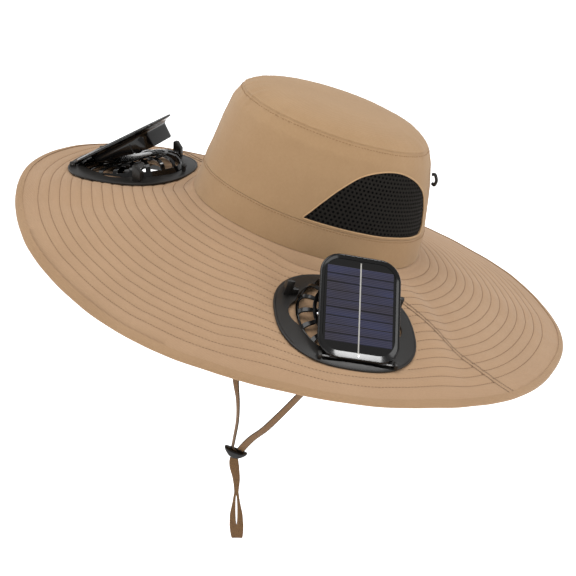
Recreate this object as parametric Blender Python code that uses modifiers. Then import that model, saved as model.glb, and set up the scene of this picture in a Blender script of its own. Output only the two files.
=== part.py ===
"""Wide-brimmed sun hat with two solar fan modules let into its brim.

Metres, +Z up, front of the hat towards -Y, wearer's left towards +X. The origin is the centre
of the head opening, where the crown meets the brim. Bearings are degrees round the crown, from
the front (0) over the wearer's left (90) to the back (180).
"""

import math

import bmesh
import bpy
from mathutils import Matrix, Vector

# Cloth
CROWN_WALL = 0.0015
BRIM_WALL = 0.0020
MESH_WALL = 0.0020
GAP = 0.0003                 # left between pieces that touch
RUNNING = 0.00008            # radial clearance of what turns on a pin
VENT_GAP = 0.0004            # round the mesh panels

# Crown, measured outside the cloth
HEAD_LENGTH = 0.199          # front to back at the foot
HEAD_WIDTH = 0.181
CROWN_HEIGHT = 0.088         # foot to tip seam
BAND_HEIGHT = 0.023
TIP_LENGTH = 0.160           # at the tip seam
TIP_WIDTH = 0.146
TIP_LEAN = 0.010             # how far the tip sits ahead of the foot
TIP_RISE = 0.0125             # the tip's dome above its seam

# Brim
BRIM_WIDTH = 0.150           # typical width in plan, crown to edge
BRIM_DROP = 0.045            # typical drop of the edge below the crown's foot
BINDING_WIDTH = 0.005
BINDING_HEIGHT = 0.0034
SEAM_FOOT = 78.0             # bearing of the brim's side seams at the crown
SEAM_EDGE = 97.5             # and at the brim's edge

# Fan modules
MODULE_BEARING = 61.3
MODULE_OFFSET = 0.06135      # the flange's middle, out from the crown's foot in plan
MODULE_DROP = 0.0222         # and below the crown's foot
MODULE_SLOPE = 16.4          # how steeply its seat falls outwards
MODULE_NOSE = 6.5            # and forwards
FLANGE_HALF = 0.053          # along the brim
FLANGE_REACH = 0.051         # across the brim
FLANGE_EDGE = 0.0012
FLANGE_RISE = 0.0026
FLANGE_POWER = 2.4           # 2 is a circle, more is squarer
SEAT_FLAT = 1.04             # the brim is flat under the module out to this share of FLANGE_HALF
SEAT_BLEND = 0.75            # from there it runs back into the free brim over this share
CLOTH_HOLE_HALF_WIDTH = 0.0240    # the hole in the brim, towards the crown and the rim
CLOTH_HOLE_HALF_LENGTH = 0.0270   # the hole in the brim, along the brim
CUP_HALF = 0.0465            # the cup's wall under the cloth
BACKPLATE_HALF = 0.0505
BACKPLATE_WALL = 0.0020
CLAMP_GAP = 0.0007           # between the cloth and the cup, under the seat's folds
CUP_DEPTH = 0.0138
MOTOR_TOP = -0.0101
CAGE_HALF_WIDTH = 0.0372     # along the brim, at the flange
CAGE_HALF_LENGTH = 0.0422    # across the brim, at the flange
CAGE_TOP_WIDTH = 0.0345      # the same two at the grille's rim
CAGE_TOP_LENGTH = 0.0385
CAGE_WALL = 0.0014
CAGE_FOOT = 0.0016           # the lower edge of the grille, inside the flange
CAGE_LOW = 0.0034            # rim height at the hinge side
CAGE_TILT_RISE = 0.0110      # how much higher it is at the crown side
CAGE_DOME = 0.0026
WINDOWS = 18
RIB_DEGREES = 6.0
SLOT_BULGE = 0.0055          # width of the crescent slots beside the cage
SLOT_HALF_LENGTH = 0.017
SLOT_SHIFT = 0.000
EAR_MIDDLE = 0.0415          # the upright ears beside the cage
EAR_WIDTH = 0.0056
EAR_START = 0.0190
EAR_END = 0.0260
EAR_TIP = 0.0030             # depth of the ear at its top
EAR_FOOT = 0.0015
EAR_SHOULDER = 0.0095        # from here the ear narrows to its top
EAR_TOP = 0.0150
ARM_START = 0.0200           # the arms from the ears to the cage
ARM_END = 0.0248
ARM_LOW = 0.0020
ARM_TOP = 0.0076
ARM_GAP = 0.0010
NOTCH_HALF = 0.0260          # the notch in the flange for the hinge
NOTCH_REACH = 0.0028
NOTCH_FLOOR = 0.0008

# Fan
ROTOR_RADIUS = 0.031
ROTOR_HUB_RADIUS = 0.0095
ROTOR_HUB_HEIGHT = 0.0060
BLADES = 5
BLADE_WALL = 0.0012
BLADE_PITCH = 32.0
SHAFT_RADIUS = 0.0012
MOTOR_RADIUS = 0.0085

# Solar lid
LID_WIDTH = 0.0605
LID_LENGTH = 0.0785
LID_CORNER = 0.0155
LID_RIM = 0.0034             # border round the panel
LID_EDGE = 0.0018
LID_ANGLE = 30.0             # how far it stands open
LID_OUT = 0.0445             # its hinge edge, out from the flange's middle
LID_HEIGHT = 0.0042          # its hinge edge, above the flange's seat
LID_SHIFT = 0.0025           # its middle, to the back of the flange's middle
BOX_WIDTH = 0.052
BOX_START = 0.0150           # from the hinge edge
BOX_END = 0.0705
BOX_CORNER = 0.0100
BOX_DEPTH_HINGE = 0.0088
BOX_DEPTH_TIP = 0.0175
NECK_DEPTH = 0.0070
PANEL_WALL = 0.0012
PIN_RADIUS = 0.0008
PIN_INSET = 0.0012           # hinge axis from the lid's edge
PIN_DROP = 0.0018            # and from its face
KNUCKLE_RADIUS = 0.0016
KNUCKLE_START = 0.0120
KNUCKLE_END = 0.0210
LUG_START = 0.0264
LUG_END = 0.0295

# Chin strap
STRAP_WIDTH = 0.0066
STRAP_WALL = 0.0010
LOCK_LENGTH = 0.0200
LOCK_DEPTH = 0.0090
LOCK_HEIGHT = 0.0085
LOCK_TURN = 42.0
ADJUSTER_CORD_RADIUS = 0.0008

# Facets
CROWN_STEPS = 36
BRIM_FRONT_STEPS = 30
BRIM_REAR_STEPS = 21
FLANGE_STEPS = 32
CUP_STEPS = 20

# Crown side, as shares: height of CROWN_HEIGHT, taper from foot (0) to tip seam (1), lean of TIP_LEAN
CROWN_SECTIONS = [
    {"height": 0.00, "taper": 0.00, "lean": 0.00},
    {"height": 0.26, "taper": 0.14, "lean": 0.14},
    {"height": 0.45, "taper": 0.30, "lean": 0.36},
    {"height": 0.68, "taper": 0.47, "lean": 0.66},
    {"height": 0.88, "taper": 0.70, "lean": 0.92},
    {"height": 1.00, "taper": 1.00, "lean": 1.00},
]

# Grille, as shares: reach of the rim's half sizes, height of the rim
CAGE_SECTIONS = [
    {"reach": 1.055, "height": 0.48},
    {"reach": 0.95, "height": 0.88},
    {"reach": 0.76, "height": 1.00},
    {"reach": 0.68, "height": 1.00},
    {"reach": 0.42, "height": 1.00},
    {"reach": 0.12, "height": 1.00},
]

# Tip, as shares: reach from its middle to the seam, rise of TIP_RISE
TIP_SECTIONS = [
    {"reach": 1.00, "rise": 0.00},
    {"reach": 0.955, "rise": 0.28},
    {"reach": 0.82, "rise": 0.64},
    {"reach": 0.45, "rise": 0.94},
]

# Brim's outline, as shares of BRIM_WIDTH and BRIM_DROP, the same on both sides
BRIM_OUTLINE = [
    {"bearing": 0, "width": 0.710, "drop": 1.667},
    {"bearing": 30, "width": 0.809, "drop": 1.447},
    {"bearing": 60, "width": 0.936, "drop": 1.033},
    {"bearing": 90, "width": 0.916, "drop": 0.800},
    {"bearing": 120, "width": 0.896, "drop": 0.767},
    {"bearing": 150, "width": 1.017, "drop": 0.753},
    {"bearing": 180, "width": 1.109, "drop": 0.733},
]
BRIM_ROWS = [0.0, 0.06, 0.16, 0.30, 0.46, 0.64, 0.82, 1.0]

# Vent's outline: bearing, then its lower and upper edge as shares of CROWN_HEIGHT
VENT_OUTLINE = [
    {"bearing": 43.0, "low": 0.285, "high": 0.293},
    {"bearing": 46.0, "low": 0.285, "high": 0.365},
    {"bearing": 50.0, "low": 0.285, "high": 0.465},
    {"bearing": 57.0, "low": 0.285, "high": 0.615},
    {"bearing": 66.0, "low": 0.285, "high": 0.750},
    {"bearing": 77.0, "low": 0.285, "high": 0.825},
    {"bearing": 90.0, "low": 0.285, "high": 0.845},
    {"bearing": 102.0, "low": 0.285, "high": 0.800},
    {"bearing": 112.0, "low": 0.285, "high": 0.715},
    {"bearing": 118.0, "low": 0.300, "high": 0.620},
    {"bearing": 121.0, "low": 0.370, "high": 0.500},
]

# Lock, as shares of its length, half height up and down, and half depth
LOCK_SECTIONS = [
    {"along": -0.50, "up": 0.62, "down": -0.30, "depth": 0.30},
    {"along": -0.40, "up": 0.60, "down": 0.20, "depth": 0.72},
    {"along": -0.20, "up": 0.62, "down": 0.80, "depth": 1.00},
    {"along": 0.00, "up": 0.66, "down": 1.00, "depth": 1.00},
    {"along": 0.20, "up": 0.62, "down": 0.80, "depth": 1.00},
    {"along": 0.40, "up": 0.60, "down": 0.20, "depth": 0.72},
    {"along": 0.50, "up": 0.62, "down": -0.30, "depth": 0.30},
]

# Routes of the chin strap, chosen by hand
LOCK_PLACE = Vector((0.0, 0.0200, -0.2230))
LEFT_LEG = [
    (0.0870, 0.0000, 0.0070), (0.0875, 0.0000, -0.0030), (0.0866, 0.0006, -0.0300),
    (0.0815, 0.0015, -0.0650), (0.0715, 0.0030, -0.1000), (0.0553, 0.0060, -0.1325),
    (0.0415, 0.0090, -0.1590), (0.0287, 0.0120, -0.1815), (0.0162, 0.0155, -0.1985),
    (0.0076, 0.0192, -0.2120), (0.0027, 0.0224, -0.2198),
]
RIGHT_LEG = [
    (-0.0870, 0.0000, 0.0070), (-0.0875, 0.0000, -0.0030), (-0.0820, 0.0006, -0.0320),
    (-0.0680, 0.0018, -0.0680), (-0.0500, 0.0034, -0.1020), (-0.0310, 0.0048, -0.1350),
    (-0.0152, 0.0060, -0.1614), (-0.0082, 0.0090, -0.1760), (-0.0044, 0.0130, -0.1930),
    (-0.0032, 0.0162, -0.2110), (-0.0027, 0.0176, -0.2198),
]
TAIL = [
    (0.0002, 0.0202, -0.2277), (0.0030, 0.0218, -0.2350), (0.0080, 0.0255, -0.2467),
    (0.0124, 0.0298, -0.2650), (0.0174, 0.0338, -0.2829), (0.0222, 0.0376, -0.2985),
]
# Tail's width at shares of its length, in STRAP_WIDTHs: a doubled ribbon, a twist, then a sewn loop
TAIL_WIDTHS = [
    {"along": 0.00, "width": 1.05}, {"along": 0.25, "width": 1.10}, {"along": 0.42, "width": 0.78},
    {"along": 0.52, "width": 0.50}, {"along": 0.62, "width": 0.90}, {"along": 0.74, "width": 1.50},
    {"along": 0.86, "width": 1.68}, {"along": 0.94, "width": 1.52}, {"along": 1.00, "width": 1.30},
]
LOOP_START = 0.57            # the slit in the tail's loop, as shares of the tail
LOOP_END = 0.88
LOOP_SLIT = 0.0020


def clear_scene():
    for obj in list(bpy.data.objects):
        bpy.data.objects.remove(obj, do_unlink=True)


def collection(name):
    found = bpy.data.collections.new(name)
    bpy.context.scene.collection.children.link(found)
    return found


def material(name, colour, roughness, metallic=0.0):
    made = bpy.data.materials.new(name)
    made.use_nodes = True
    shader = made.node_tree.nodes["Principled BSDF"]
    shader.inputs["Base Color"].default_value = (*colour, 1.0)
    shader.inputs["Roughness"].default_value = roughness
    shader.inputs["Metallic"].default_value = metallic
    return made


def smoothstep(share):
    share = min(max(share, 0.0), 1.0)
    return share * share * (3 - 2 * share)


def read(table, key, column, value):
    """A table's column at a value of its key, straight between rows."""
    for row, after in zip(table, table[1:]):
        if value <= after[key]:
            share = (value - row[key]) / (after[key] - row[key])
            return row[column] + (after[column] - row[column]) * share
    return table[-1][column]


def catmull(before, start, end, after, share):
    return 0.5 * (
        2 * start
        + (end - before) * share
        + (2 * before - 5 * start + 4 * end - after) * share**2
        + (3 * start - before - 3 * end + after) * share**3
    )


def smooth_route(points, steps):
    """A smooth curve through the points, with this many steps between each two."""
    points = [Vector(point) for point in points]
    padded = [2 * points[0] - points[1], *points, 2 * points[-1] - points[-2]]
    route = []
    for number in range(len(points) - 1):
        for step in range(steps):
            route.append(catmull(*padded[number : number + 4], step / steps))
    return route + [points[-1]]


# Surfaces of the hat

def crown_point(bearing, height, inset=0.0):
    """A point on the crown side. Height is a share of CROWN_HEIGHT, inset runs inwards."""
    taper = read(CROWN_SECTIONS, "height", "taper", height)
    lean = read(CROWN_SECTIONS, "height", "lean", height) * TIP_LEAN
    half_length = (HEAD_LENGTH + (TIP_LENGTH - HEAD_LENGTH) * taper) / 2 - inset
    half_width = (HEAD_WIDTH + (TIP_WIDTH - HEAD_WIDTH) * taper) / 2 - inset
    turn = math.radians(bearing)
    return Vector((
        half_width * math.sin(turn),
        -half_length * math.cos(turn) - lean,
        CROWN_HEIGHT * height,
    ))


def brim_outline(bearing, column):
    """A column of the brim's outline, smooth round the hat."""
    step = BRIM_OUTLINE[1]["bearing"]
    place = abs((bearing + 180) % 360 - 180) / step
    last = len(BRIM_OUTLINE) - 1
    first = min(int(place), last - 1)
    rows = [abs(first - 1), first, first + 1, last - abs(last - first - 2)]
    return catmull(*(BRIM_OUTLINE[row][column] for row in rows), place - first)


def free_brim(bearing, share):
    """The brim's upper face before the modules are let in. Share runs from crown to edge."""
    foot = crown_point(bearing, 0.0)
    outwards = Vector((foot.x, foot.y, 0)).normalized()
    reach = BRIM_WIDTH * brim_outline(bearing, "width")
    drop = BRIM_DROP * brim_outline(bearing, "drop")
    return foot + outwards * reach * share + Vector((0, 0, -drop * share))


def module_frame(side):
    """The seat of a module: X along the brim to the back, Y to the crown, Z up off the cloth."""
    turn = math.radians(MODULE_BEARING)
    out = Vector((side * math.sin(turn), -math.cos(turn), 0))
    back = Vector((side * math.cos(turn), math.sin(turn), 0))
    up = Vector((0, 0, 1))
    up += out * math.tan(math.radians(MODULE_SLOPE)) - back * math.tan(math.radians(MODULE_NOSE))
    up.normalize()
    along = (back - up * back.dot(up)).normalized()
    inwards = up.cross(along) * side
    frame = Matrix((along, inwards, up)).transposed().to_4x4()
    foot = crown_point(MODULE_BEARING, 0.0)
    reach = MODULE_OFFSET + math.hypot(foot.x, foot.y)
    frame.translation = out * reach + Vector((0, 0, -MODULE_DROP))
    return frame


MODULES = {1: module_frame(1), -1: module_frame(-1)}


def brim_point(bearing, share, depth=0.0):
    """The brim with a flat seat pressed in under each module. Depth runs down into the cloth."""
    point = free_brim(bearing, share)
    for frame in MODULES.values():
        local = frame.inverted() @ point
        size = (abs(local.x) ** FLANGE_POWER + abs(local.y) ** FLANGE_POWER) ** (1 / FLANGE_POWER)
        weight = 1 - smoothstep((size / FLANGE_HALF - SEAT_FLAT) / SEAT_BLEND)
        weight *= smoothstep(share / 0.06)
        slope = frame.to_3x3() @ Vector((0, 0, 1))
        drop = (point - frame.translation).dot(slope) / slope.z
        point.z -= drop * weight
    point.z -= depth
    return point


def seam_bearing(share):
    return SEAM_FOOT + (SEAM_EDGE - SEAM_FOOT) * share


# Mesh helpers

def skin(rings, close_rings, close_stack, ladder=False):
    """Quads between rings of points. The open ends of a stack are filled, as a ladder where asked."""
    mesh = bmesh.new()
    rows = [[mesh.verts.new(point) for point in ring] for ring in rings]
    count = len(rows[0])
    pairs = list(zip(rows, rows[1:] + rows[:1]))
    for row, after in pairs if close_stack else pairs[:-1]:
        for number in range(count if close_rings else count - 1):
            nearby = (number + 1) % count
            mesh.faces.new((row[number], row[nearby], after[nearby], after[number]))
    if ladder:
        for row in (rows[0], rows[-1]):
            for number in range(count // 2 - 1):
                mesh.faces.new((row[number], row[number + 1], row[-number - 2], row[-number - 1]))
    elif close_rings and not close_stack:
        mesh.faces.new(rows[0])
        mesh.faces.new(rows[-1])
    bmesh.ops.remove_doubles(mesh, verts=mesh.verts, dist=1e-7)
    bmesh.ops.recalc_face_normals(mesh, faces=mesh.faces)
    return mesh


def box_mesh(low, high):
    low, high = Vector(low), Vector(high)
    size = high - low
    mesh = bmesh.new()
    place = Matrix.Translation((low + high) / 2) @ Matrix.Diagonal((*size, 1))
    bmesh.ops.create_cube(mesh, size=1, matrix=place)
    return mesh


def rod_mesh(start, end, radius, sides=12, end_radius=None):
    start, end = Vector(start), Vector(end)
    along = end - start
    turn = along.to_track_quat("Z", "Y").to_matrix().to_4x4()
    mesh = bmesh.new()
    bmesh.ops.create_cone(
        mesh,
        cap_ends=True,
        segments=sides,
        radius1=radius,
        radius2=radius if end_radius is None else end_radius,
        depth=along.length,
        matrix=Matrix.Translation((start + end) / 2) @ turn,
    )
    return mesh


def add(name, mesh, finish, frame=None, smooth=40.0):
    """Puts a mesh in the scene, turned into a module's frame if one is given."""
    if frame is not None:
        bmesh.ops.transform(mesh, matrix=frame, verts=mesh.verts)
        if frame.determinant() < 0:
            bmesh.ops.reverse_faces(mesh, faces=mesh.faces)
    data = bpy.data.meshes.new(name)
    mesh.to_mesh(data)
    mesh.free()
    data.materials.append(finish)
    data.shade_smooth()
    data.set_sharp_from_angle(angle=math.radians(smooth))
    obj = bpy.data.objects.new(name, data)
    PARTS.objects.link(obj)
    return obj


def combine(obj, operation, mesh, frame=None):
    """Joins a mesh to an object, or cuts it out, with a Boolean."""
    number = len(obj.modifiers)
    tool = add(f"{obj.name}_tool_{number}", mesh, obj.data.materials[0], frame)
    PARTS.objects.unlink(tool)
    TOOLS.objects.link(tool)
    tool.hide_render = True
    tool.display_type = "WIRE"
    modifier = obj.modifiers.new(f"{operation.lower()}_{number}", "BOOLEAN")
    modifier.operation = operation
    modifier.object = tool


def pivot(name, place, children):
    """An empty on a joint's axis, which carries the pieces that turn about it."""
    empty = bpy.data.objects.new(name, None)
    empty.location = place
    PARTS.objects.link(empty)
    for child in children:
        child.parent = empty
        child.matrix_parent_inverse = Matrix.Translation(place).inverted()


def bearings(start, end, steps):
    return [start + (end - start) * step / steps for step in range(steps + 1)]


def oval(half_x, half_y, steps, power=2.0):
    """A round outline, squarer as its power grows."""
    outline = []
    for step in range(steps):
        turn = 2 * math.pi * step / steps
        x, y = math.cos(turn), math.sin(turn)
        outline.append((
            half_x * math.copysign(abs(x) ** (2 / power), x),
            half_y * math.copysign(abs(y) ** (2 / power), y),
        ))
    return outline


def rounded(width, start, end, corner, steps=3):
    """A rectangle with round corners, across X and from start to end along Y."""
    outline = []
    for middle_x, middle_y, first in (
        (width / 2 - corner, end - corner, 0),
        (corner - width / 2, end - corner, 90),
        (corner - width / 2, start + corner, 180),
        (width / 2 - corner, start + corner, 270),
    ):
        for step in range(steps + 1):
            turn = math.radians(first + 90 * step / steps)
            outline.append((middle_x + corner * math.cos(turn), middle_y + corner * math.sin(turn)))
    return outline


# Crown

def crown_wall(name, heights, finish):
    """A ring of the crown side between two heights, as a wall of cloth."""
    turns = bearings(0, 360, CROWN_STEPS)[:-1]
    outside = [[crown_point(turn, height) for turn in turns] for height in heights]
    inside = [[crown_point(turn, height, CROWN_WALL) for turn in turns] for height in reversed(heights)]
    return add(name, skin(outside + inside, True, True), finish)


def vent_sheet(side, trim, out, into, upright):
    """A curved slab over a vent. Trim draws its outline in, out and into set its faces."""
    trim_turn = math.degrees(2 * trim / HEAD_WIDTH)
    trim_height = trim / CROWN_HEIGHT
    turns = [row["bearing"] for row in VENT_OUTLINE]
    turns = sorted(turns + [(turn + after) / 2 for turn, after in zip(turns, turns[1:])])
    turns[0] += 2.2 * trim_turn
    turns[-1] -= trim_turn
    sections = []
    for turn in turns:
        low = read(VENT_OUTLINE, "bearing", "low", turn) + trim_height
        high = read(VENT_OUTLINE, "bearing", "high", turn) - trim_height
        high = max(high, low + trim_height)
        heights = bearings(low, high, upright)
        sections.append(
            [crown_point(side * turn, height, -out) for height in heights]
            + [crown_point(side * turn, height, into) for height in reversed(heights)]
        )
    return skin(sections, True, False)


def build_crown():
    band_top = BAND_HEIGHT / CROWN_HEIGHT
    gap = GAP / CROWN_HEIGHT
    crown_wall("crown_band", [gap, band_top], CROWN_CLOTH)
    heights = [band_top + gap] + [row["height"] for row in CROWN_SECTIONS if row["height"] > band_top + gap]
    side_wall = crown_wall("crown_side", heights, CROWN_CLOTH)
    for side, word in ((1, "left"), (-1, "right")):
        combine(side_wall, "DIFFERENCE", vent_sheet(side, 0.0, 0.004, 0.006, 1))
        panel = vent_sheet(side, VENT_GAP, 0.0, MESH_WALL, 1)
        add(f"vent_mesh_{word}", panel, MESH)
    build_tip()


def build_tip():
    turns = bearings(0, 360, CROWN_STEPS)[:-1]
    middle = Vector((0, -TIP_LEAN, CROWN_HEIGHT + GAP))

    def ring(row, inset):
        sunk = inset if row["reach"] < 1 else 0.0
        points = []
        for turn in turns:
            edge = crown_point(turn, 1.0, inset)
            out = Vector((edge.x - middle.x, edge.y - middle.y, 0)) * row["reach"]
            points.append(middle + out + Vector((0, 0, TIP_RISE * row["rise"] - sunk)))
        return points

    outside = [ring(row, 0.0) for row in reversed(TIP_SECTIONS)]
    inside = [ring(row, CROWN_WALL) for row in TIP_SECTIONS]
    add("crown_tip", skin(outside + inside, True, False), CROWN_CLOTH)


# Brim

def brim_section(bearing_at, trim_edge=True):
    """The section of the brim along one line from crown to edge and back underneath."""
    inner = BINDING_WIDTH + GAP
    rows = []
    for share in BRIM_ROWS:
        bearing = bearing_at(share)
        width = BRIM_WIDTH * brim_outline(bearing, "width")
        rows.append((bearing, share * (1 - inner / width)))
    foot = bearing_at(0.0)
    lip = crown_point(foot, 0.0, CROWN_WALL)
    top = [brim_point(bearing, share) for bearing, share in rows]
    under = [brim_point(bearing, share, BRIM_WALL) for bearing, share in reversed(rows)]
    return [lip, *top, *under, lip - Vector((0, 0, BRIM_WALL))]


def build_brim():
    trim = 0.06
    front = [
        brim_section(lambda share, turn=turn: turn * (seam_bearing(share) - trim))
        for turn in bearings(-1, 1, BRIM_FRONT_STEPS)
    ]
    rear = [
        brim_section(lambda share, turn=turn: 180 + turn * (180 - seam_bearing(share) - trim))
        for turn in bearings(-1, 1, BRIM_REAR_STEPS)
    ]
    front_piece = add("brim_front", skin(front, True, False, True), BRIM_CLOTH)
    for frame in MODULES.values():
        hole = oval(CLOTH_HOLE_HALF_WIDTH, CLOTH_HOLE_HALF_LENGTH, CUP_STEPS)
        rings = [[(x, y, z) for x, y in hole] for z in (-0.02, 0.02)]
        combine(front_piece, "DIFFERENCE", skin(rings, True, False), frame)
    add("brim_rear", skin(rear, True, False, True), BRIM_CLOTH)
    build_binding()


def build_binding():
    """The bound edge, a flat tape folded round the rim."""
    turns = [turn * SEAM_EDGE for turn in bearings(-1, 1, BRIM_FRONT_STEPS)]
    turns += [180 + turn * (180 - SEAM_EDGE) for turn in bearings(-1, 1, BRIM_REAR_STEPS)][1:-1]
    proud = (BINDING_HEIGHT - BRIM_WALL) / 2
    sections = []
    for turn in turns:
        width = BRIM_WIDTH * brim_outline(turn, "width")
        inner = 1 - BINDING_WIDTH / width
        middle = 1 - BINDING_WIDTH / width / 4
        sections.append([
            brim_point(turn, inner, -proud),
            brim_point(turn, middle, -proud),
            brim_point(turn, 1.0, BRIM_WALL / 2),
            brim_point(turn, middle, BRIM_WALL + proud),
            brim_point(turn, inner, BRIM_WALL + proud),
        ])
    add("brim_binding", skin(sections, True, True), BINDING_CLOTH)


# Fan modules

def cage_rim(y):
    """Height of the cage's rim, which rises towards the crown."""
    share = (y + CAGE_TOP_LENGTH) / (2 * CAGE_TOP_LENGTH)
    return CAGE_LOW + CAGE_TILT_RISE * smoothstep(share) ** 1.4


def cage_ring(reach, height, turns):
    """A ring of the grille, at a share of its rim's reach and height."""
    ring = []
    for turn in turns:
        x = CAGE_TOP_WIDTH * reach * math.cos(turn)
        y = CAGE_TOP_LENGTH * reach * math.sin(turn)
        dome = CAGE_DOME * max(1 - reach**2, 0) * (cage_rim(y) - CAGE_LOW + CAGE_DOME) / (CAGE_TILT_RISE + CAGE_DOME)
        ring.append(Vector((x, y, GAP + (cage_rim(y) - GAP) * height + dome)))
    return ring


def build_cage(word, frame):
    """A domed grille: ribs and rings between two rows of windows, on a closed wall."""
    pitch = 2 * math.pi / WINDOWS
    rib = math.radians(RIB_DEGREES)
    turns = []
    for number in range(WINDOWS):
        turns += [number * pitch - rib / 2, number * pitch + rib / 2]
    foot = [Vector((CAGE_HALF_WIDTH * math.cos(t), CAGE_HALF_LENGTH * math.sin(t), CAGE_FOOT)) for t in turns]
    window_rows = {1, 2, 4}
    rings = [foot] + [cage_ring(row["reach"], row["height"], turns) for row in CAGE_SECTIONS]
    mesh = bmesh.new()
    rows = [[mesh.verts.new(point) for point in ring] for ring in rings]
    for level, (row, after) in enumerate(zip(rows, rows[1:])):
        for number in range(len(turns)):
            if level in window_rows and number % 2:
                continue
            nearby = (number + 1) % len(turns)
            mesh.faces.new((row[number], row[nearby], after[nearby], after[number]))
    mesh.faces.new(rows[-1])
    bmesh.ops.recalc_face_normals(mesh, faces=mesh.faces)
    cage = add(f"fan_cage_{word}", mesh, BLACK_PLASTIC, frame)
    wall = cage.modifiers.new("wall", "SOLIDIFY")
    wall.thickness = CAGE_WALL
    wall.offset = -1


def build_flange(word, frame):
    """The plate that clamps the cloth, with the ears, the catch and the hinge's lugs."""
    outline = oval(FLANGE_HALF, FLANGE_REACH, FLANGE_STEPS, FLANGE_POWER)
    hole = oval(CAGE_HALF_WIDTH + GAP, CAGE_HALF_LENGTH + GAP, FLANGE_STEPS)
    rings = [
        [(x, y, GAP) for x, y in hole],
        [(x, y, GAP) for x, y in outline],
        [(x, y, GAP + FLANGE_EDGE) for x, y in outline],
        [(x * 0.93, y * 0.93, FLANGE_RISE) for x, y in outline],
        [(x, y, FLANGE_RISE) for x, y in hole],
    ]
    flange = add(f"fan_flange_{word}", skin(rings, True, True), DARK_PLASTIC, frame)
    for side in (1, -1):
        slot = oval(SLOT_HALF_LENGTH, SLOT_HALF_LENGTH, 16)
        inner = CAGE_HALF_WIDTH + SLOT_BULGE - SLOT_HALF_LENGTH
        rings = [[(side * inner + x, SLOT_SHIFT + y, z) for x, y in slot] for z in (-0.004, 0.008)]
        combine(flange, "DIFFERENCE", skin(rings, True, False), frame)
    axis_y, axis_z = hinge_axis()
    notch = box_mesh(
        (LID_SHIFT - NOTCH_HALF, axis_y - NOTCH_REACH, NOTCH_FLOOR),
        (LID_SHIFT + NOTCH_HALF, axis_y + NOTCH_REACH, FLANGE_RISE * 2),
    )
    combine(flange, "DIFFERENCE", notch, frame)
    for side in (1, -1):
        low, high = (side * EAR_MIDDLE - EAR_WIDTH / 2, side * EAR_MIDDLE + EAR_WIDTH / 2)
        ear = [
            [(x, y, z) for x, y in ((low, EAR_START), (high, EAR_START), (high, end), (low, end))]
            for z, end in ((EAR_FOOT, EAR_END), (EAR_SHOULDER, EAR_END), (EAR_TOP, EAR_START + EAR_TIP))
        ]
        combine(flange, "UNION", skin(ear, True, False), frame)
        arm_start = CAGE_HALF_WIDTH * math.sqrt(1 - (ARM_START / CAGE_HALF_LENGTH) ** 2) + ARM_GAP
        low, high = sorted((side * arm_start, side * EAR_MIDDLE))
        combine(flange, "UNION", box_mesh((low, ARM_START, ARM_LOW), (high, ARM_END, ARM_TOP)), frame)
    catch = [
        [(x, y, z) for x, y in ((-half, 0.0442), (half, 0.0442), (half, 0.0442 + deep), (-half, 0.0442 + deep))]
        for z, half, deep in ((0.0010, 0.0024, 0.0022), (0.0066, 0.0032, 0.0032), (0.0088, 0.0032, 0.0012))
    ]
    combine(flange, "UNION", skin(catch, True, False), frame)
    for side in (1, -1):
        low, high = sorted((LID_SHIFT + side * LUG_START, LID_SHIFT + side * LUG_END))
        lug = box_mesh((low, axis_y - 0.0026, 0.0012), (high, axis_y + 0.0026, axis_z + 0.0024))
        combine(flange, "UNION", lug, frame)
    bore = rod_mesh((-0.04, axis_y, axis_z), (0.04, axis_y, axis_z), PIN_RADIUS + RUNNING)
    combine(flange, "DIFFERENCE", bore, frame)


def build_backplate(word, frame):
    """The plain cup under the cloth. Its spider carries the motor and the fan's shaft."""
    top = -BRIM_WALL / frame.to_3x3().col[2].z - CLAMP_GAP
    low = top - BACKPLATE_WALL
    outer = oval(BACKPLATE_HALF, BACKPLATE_HALF, CUP_STEPS, FLANGE_POWER)
    wall = oval(CUP_HALF, CUP_HALF, CUP_STEPS, FLANGE_POWER)
    inner = oval(*[CUP_HALF - BACKPLATE_WALL] * 2, CUP_STEPS, FLANGE_POWER)
    rings = [
        [(x, y, -CUP_DEPTH) for x, y in inner],
        [(x, y, -CUP_DEPTH) for x, y in wall],
        [(x, y, low) for x, y in wall],
        [(x, y, low) for x, y in outer],
        [(x, y, top) for x, y in outer],
        [(x, y, top) for x, y in inner],
    ]
    plate = add(f"fan_backplate_{word}", skin(rings, True, True), BLACK_PLASTIC, frame)
    star = []
    for turn in (90, 210, 330):
        arm = Matrix.Rotation(math.radians(turn), 2)
        star += [arm @ Vector((CUP_HALF - 0.001, out)) for out in (-0.0025, 0.0025)]
        star.append(arm @ (0.005 * Vector((math.cos(math.radians(60)), math.sin(math.radians(60))))))
    rings = [[(x, y, z - CUP_DEPTH) for x, y in star] for z in (0.0003, BACKPLATE_WALL)]
    combine(plate, "UNION", skin(rings, True, False), frame)
    combine(plate, "UNION", rod_mesh((0, 0, -CUP_DEPTH - 0.0008), (0, 0, MOTOR_TOP), MOTOR_RADIUS, 16), frame)
    tip = MOTOR_TOP + GAP + ROTOR_HUB_HEIGHT * 0.8
    combine(plate, "UNION", rod_mesh((0, 0, -CUP_DEPTH), (0, 0, tip), SHAFT_RADIUS, 8), frame)


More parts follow.
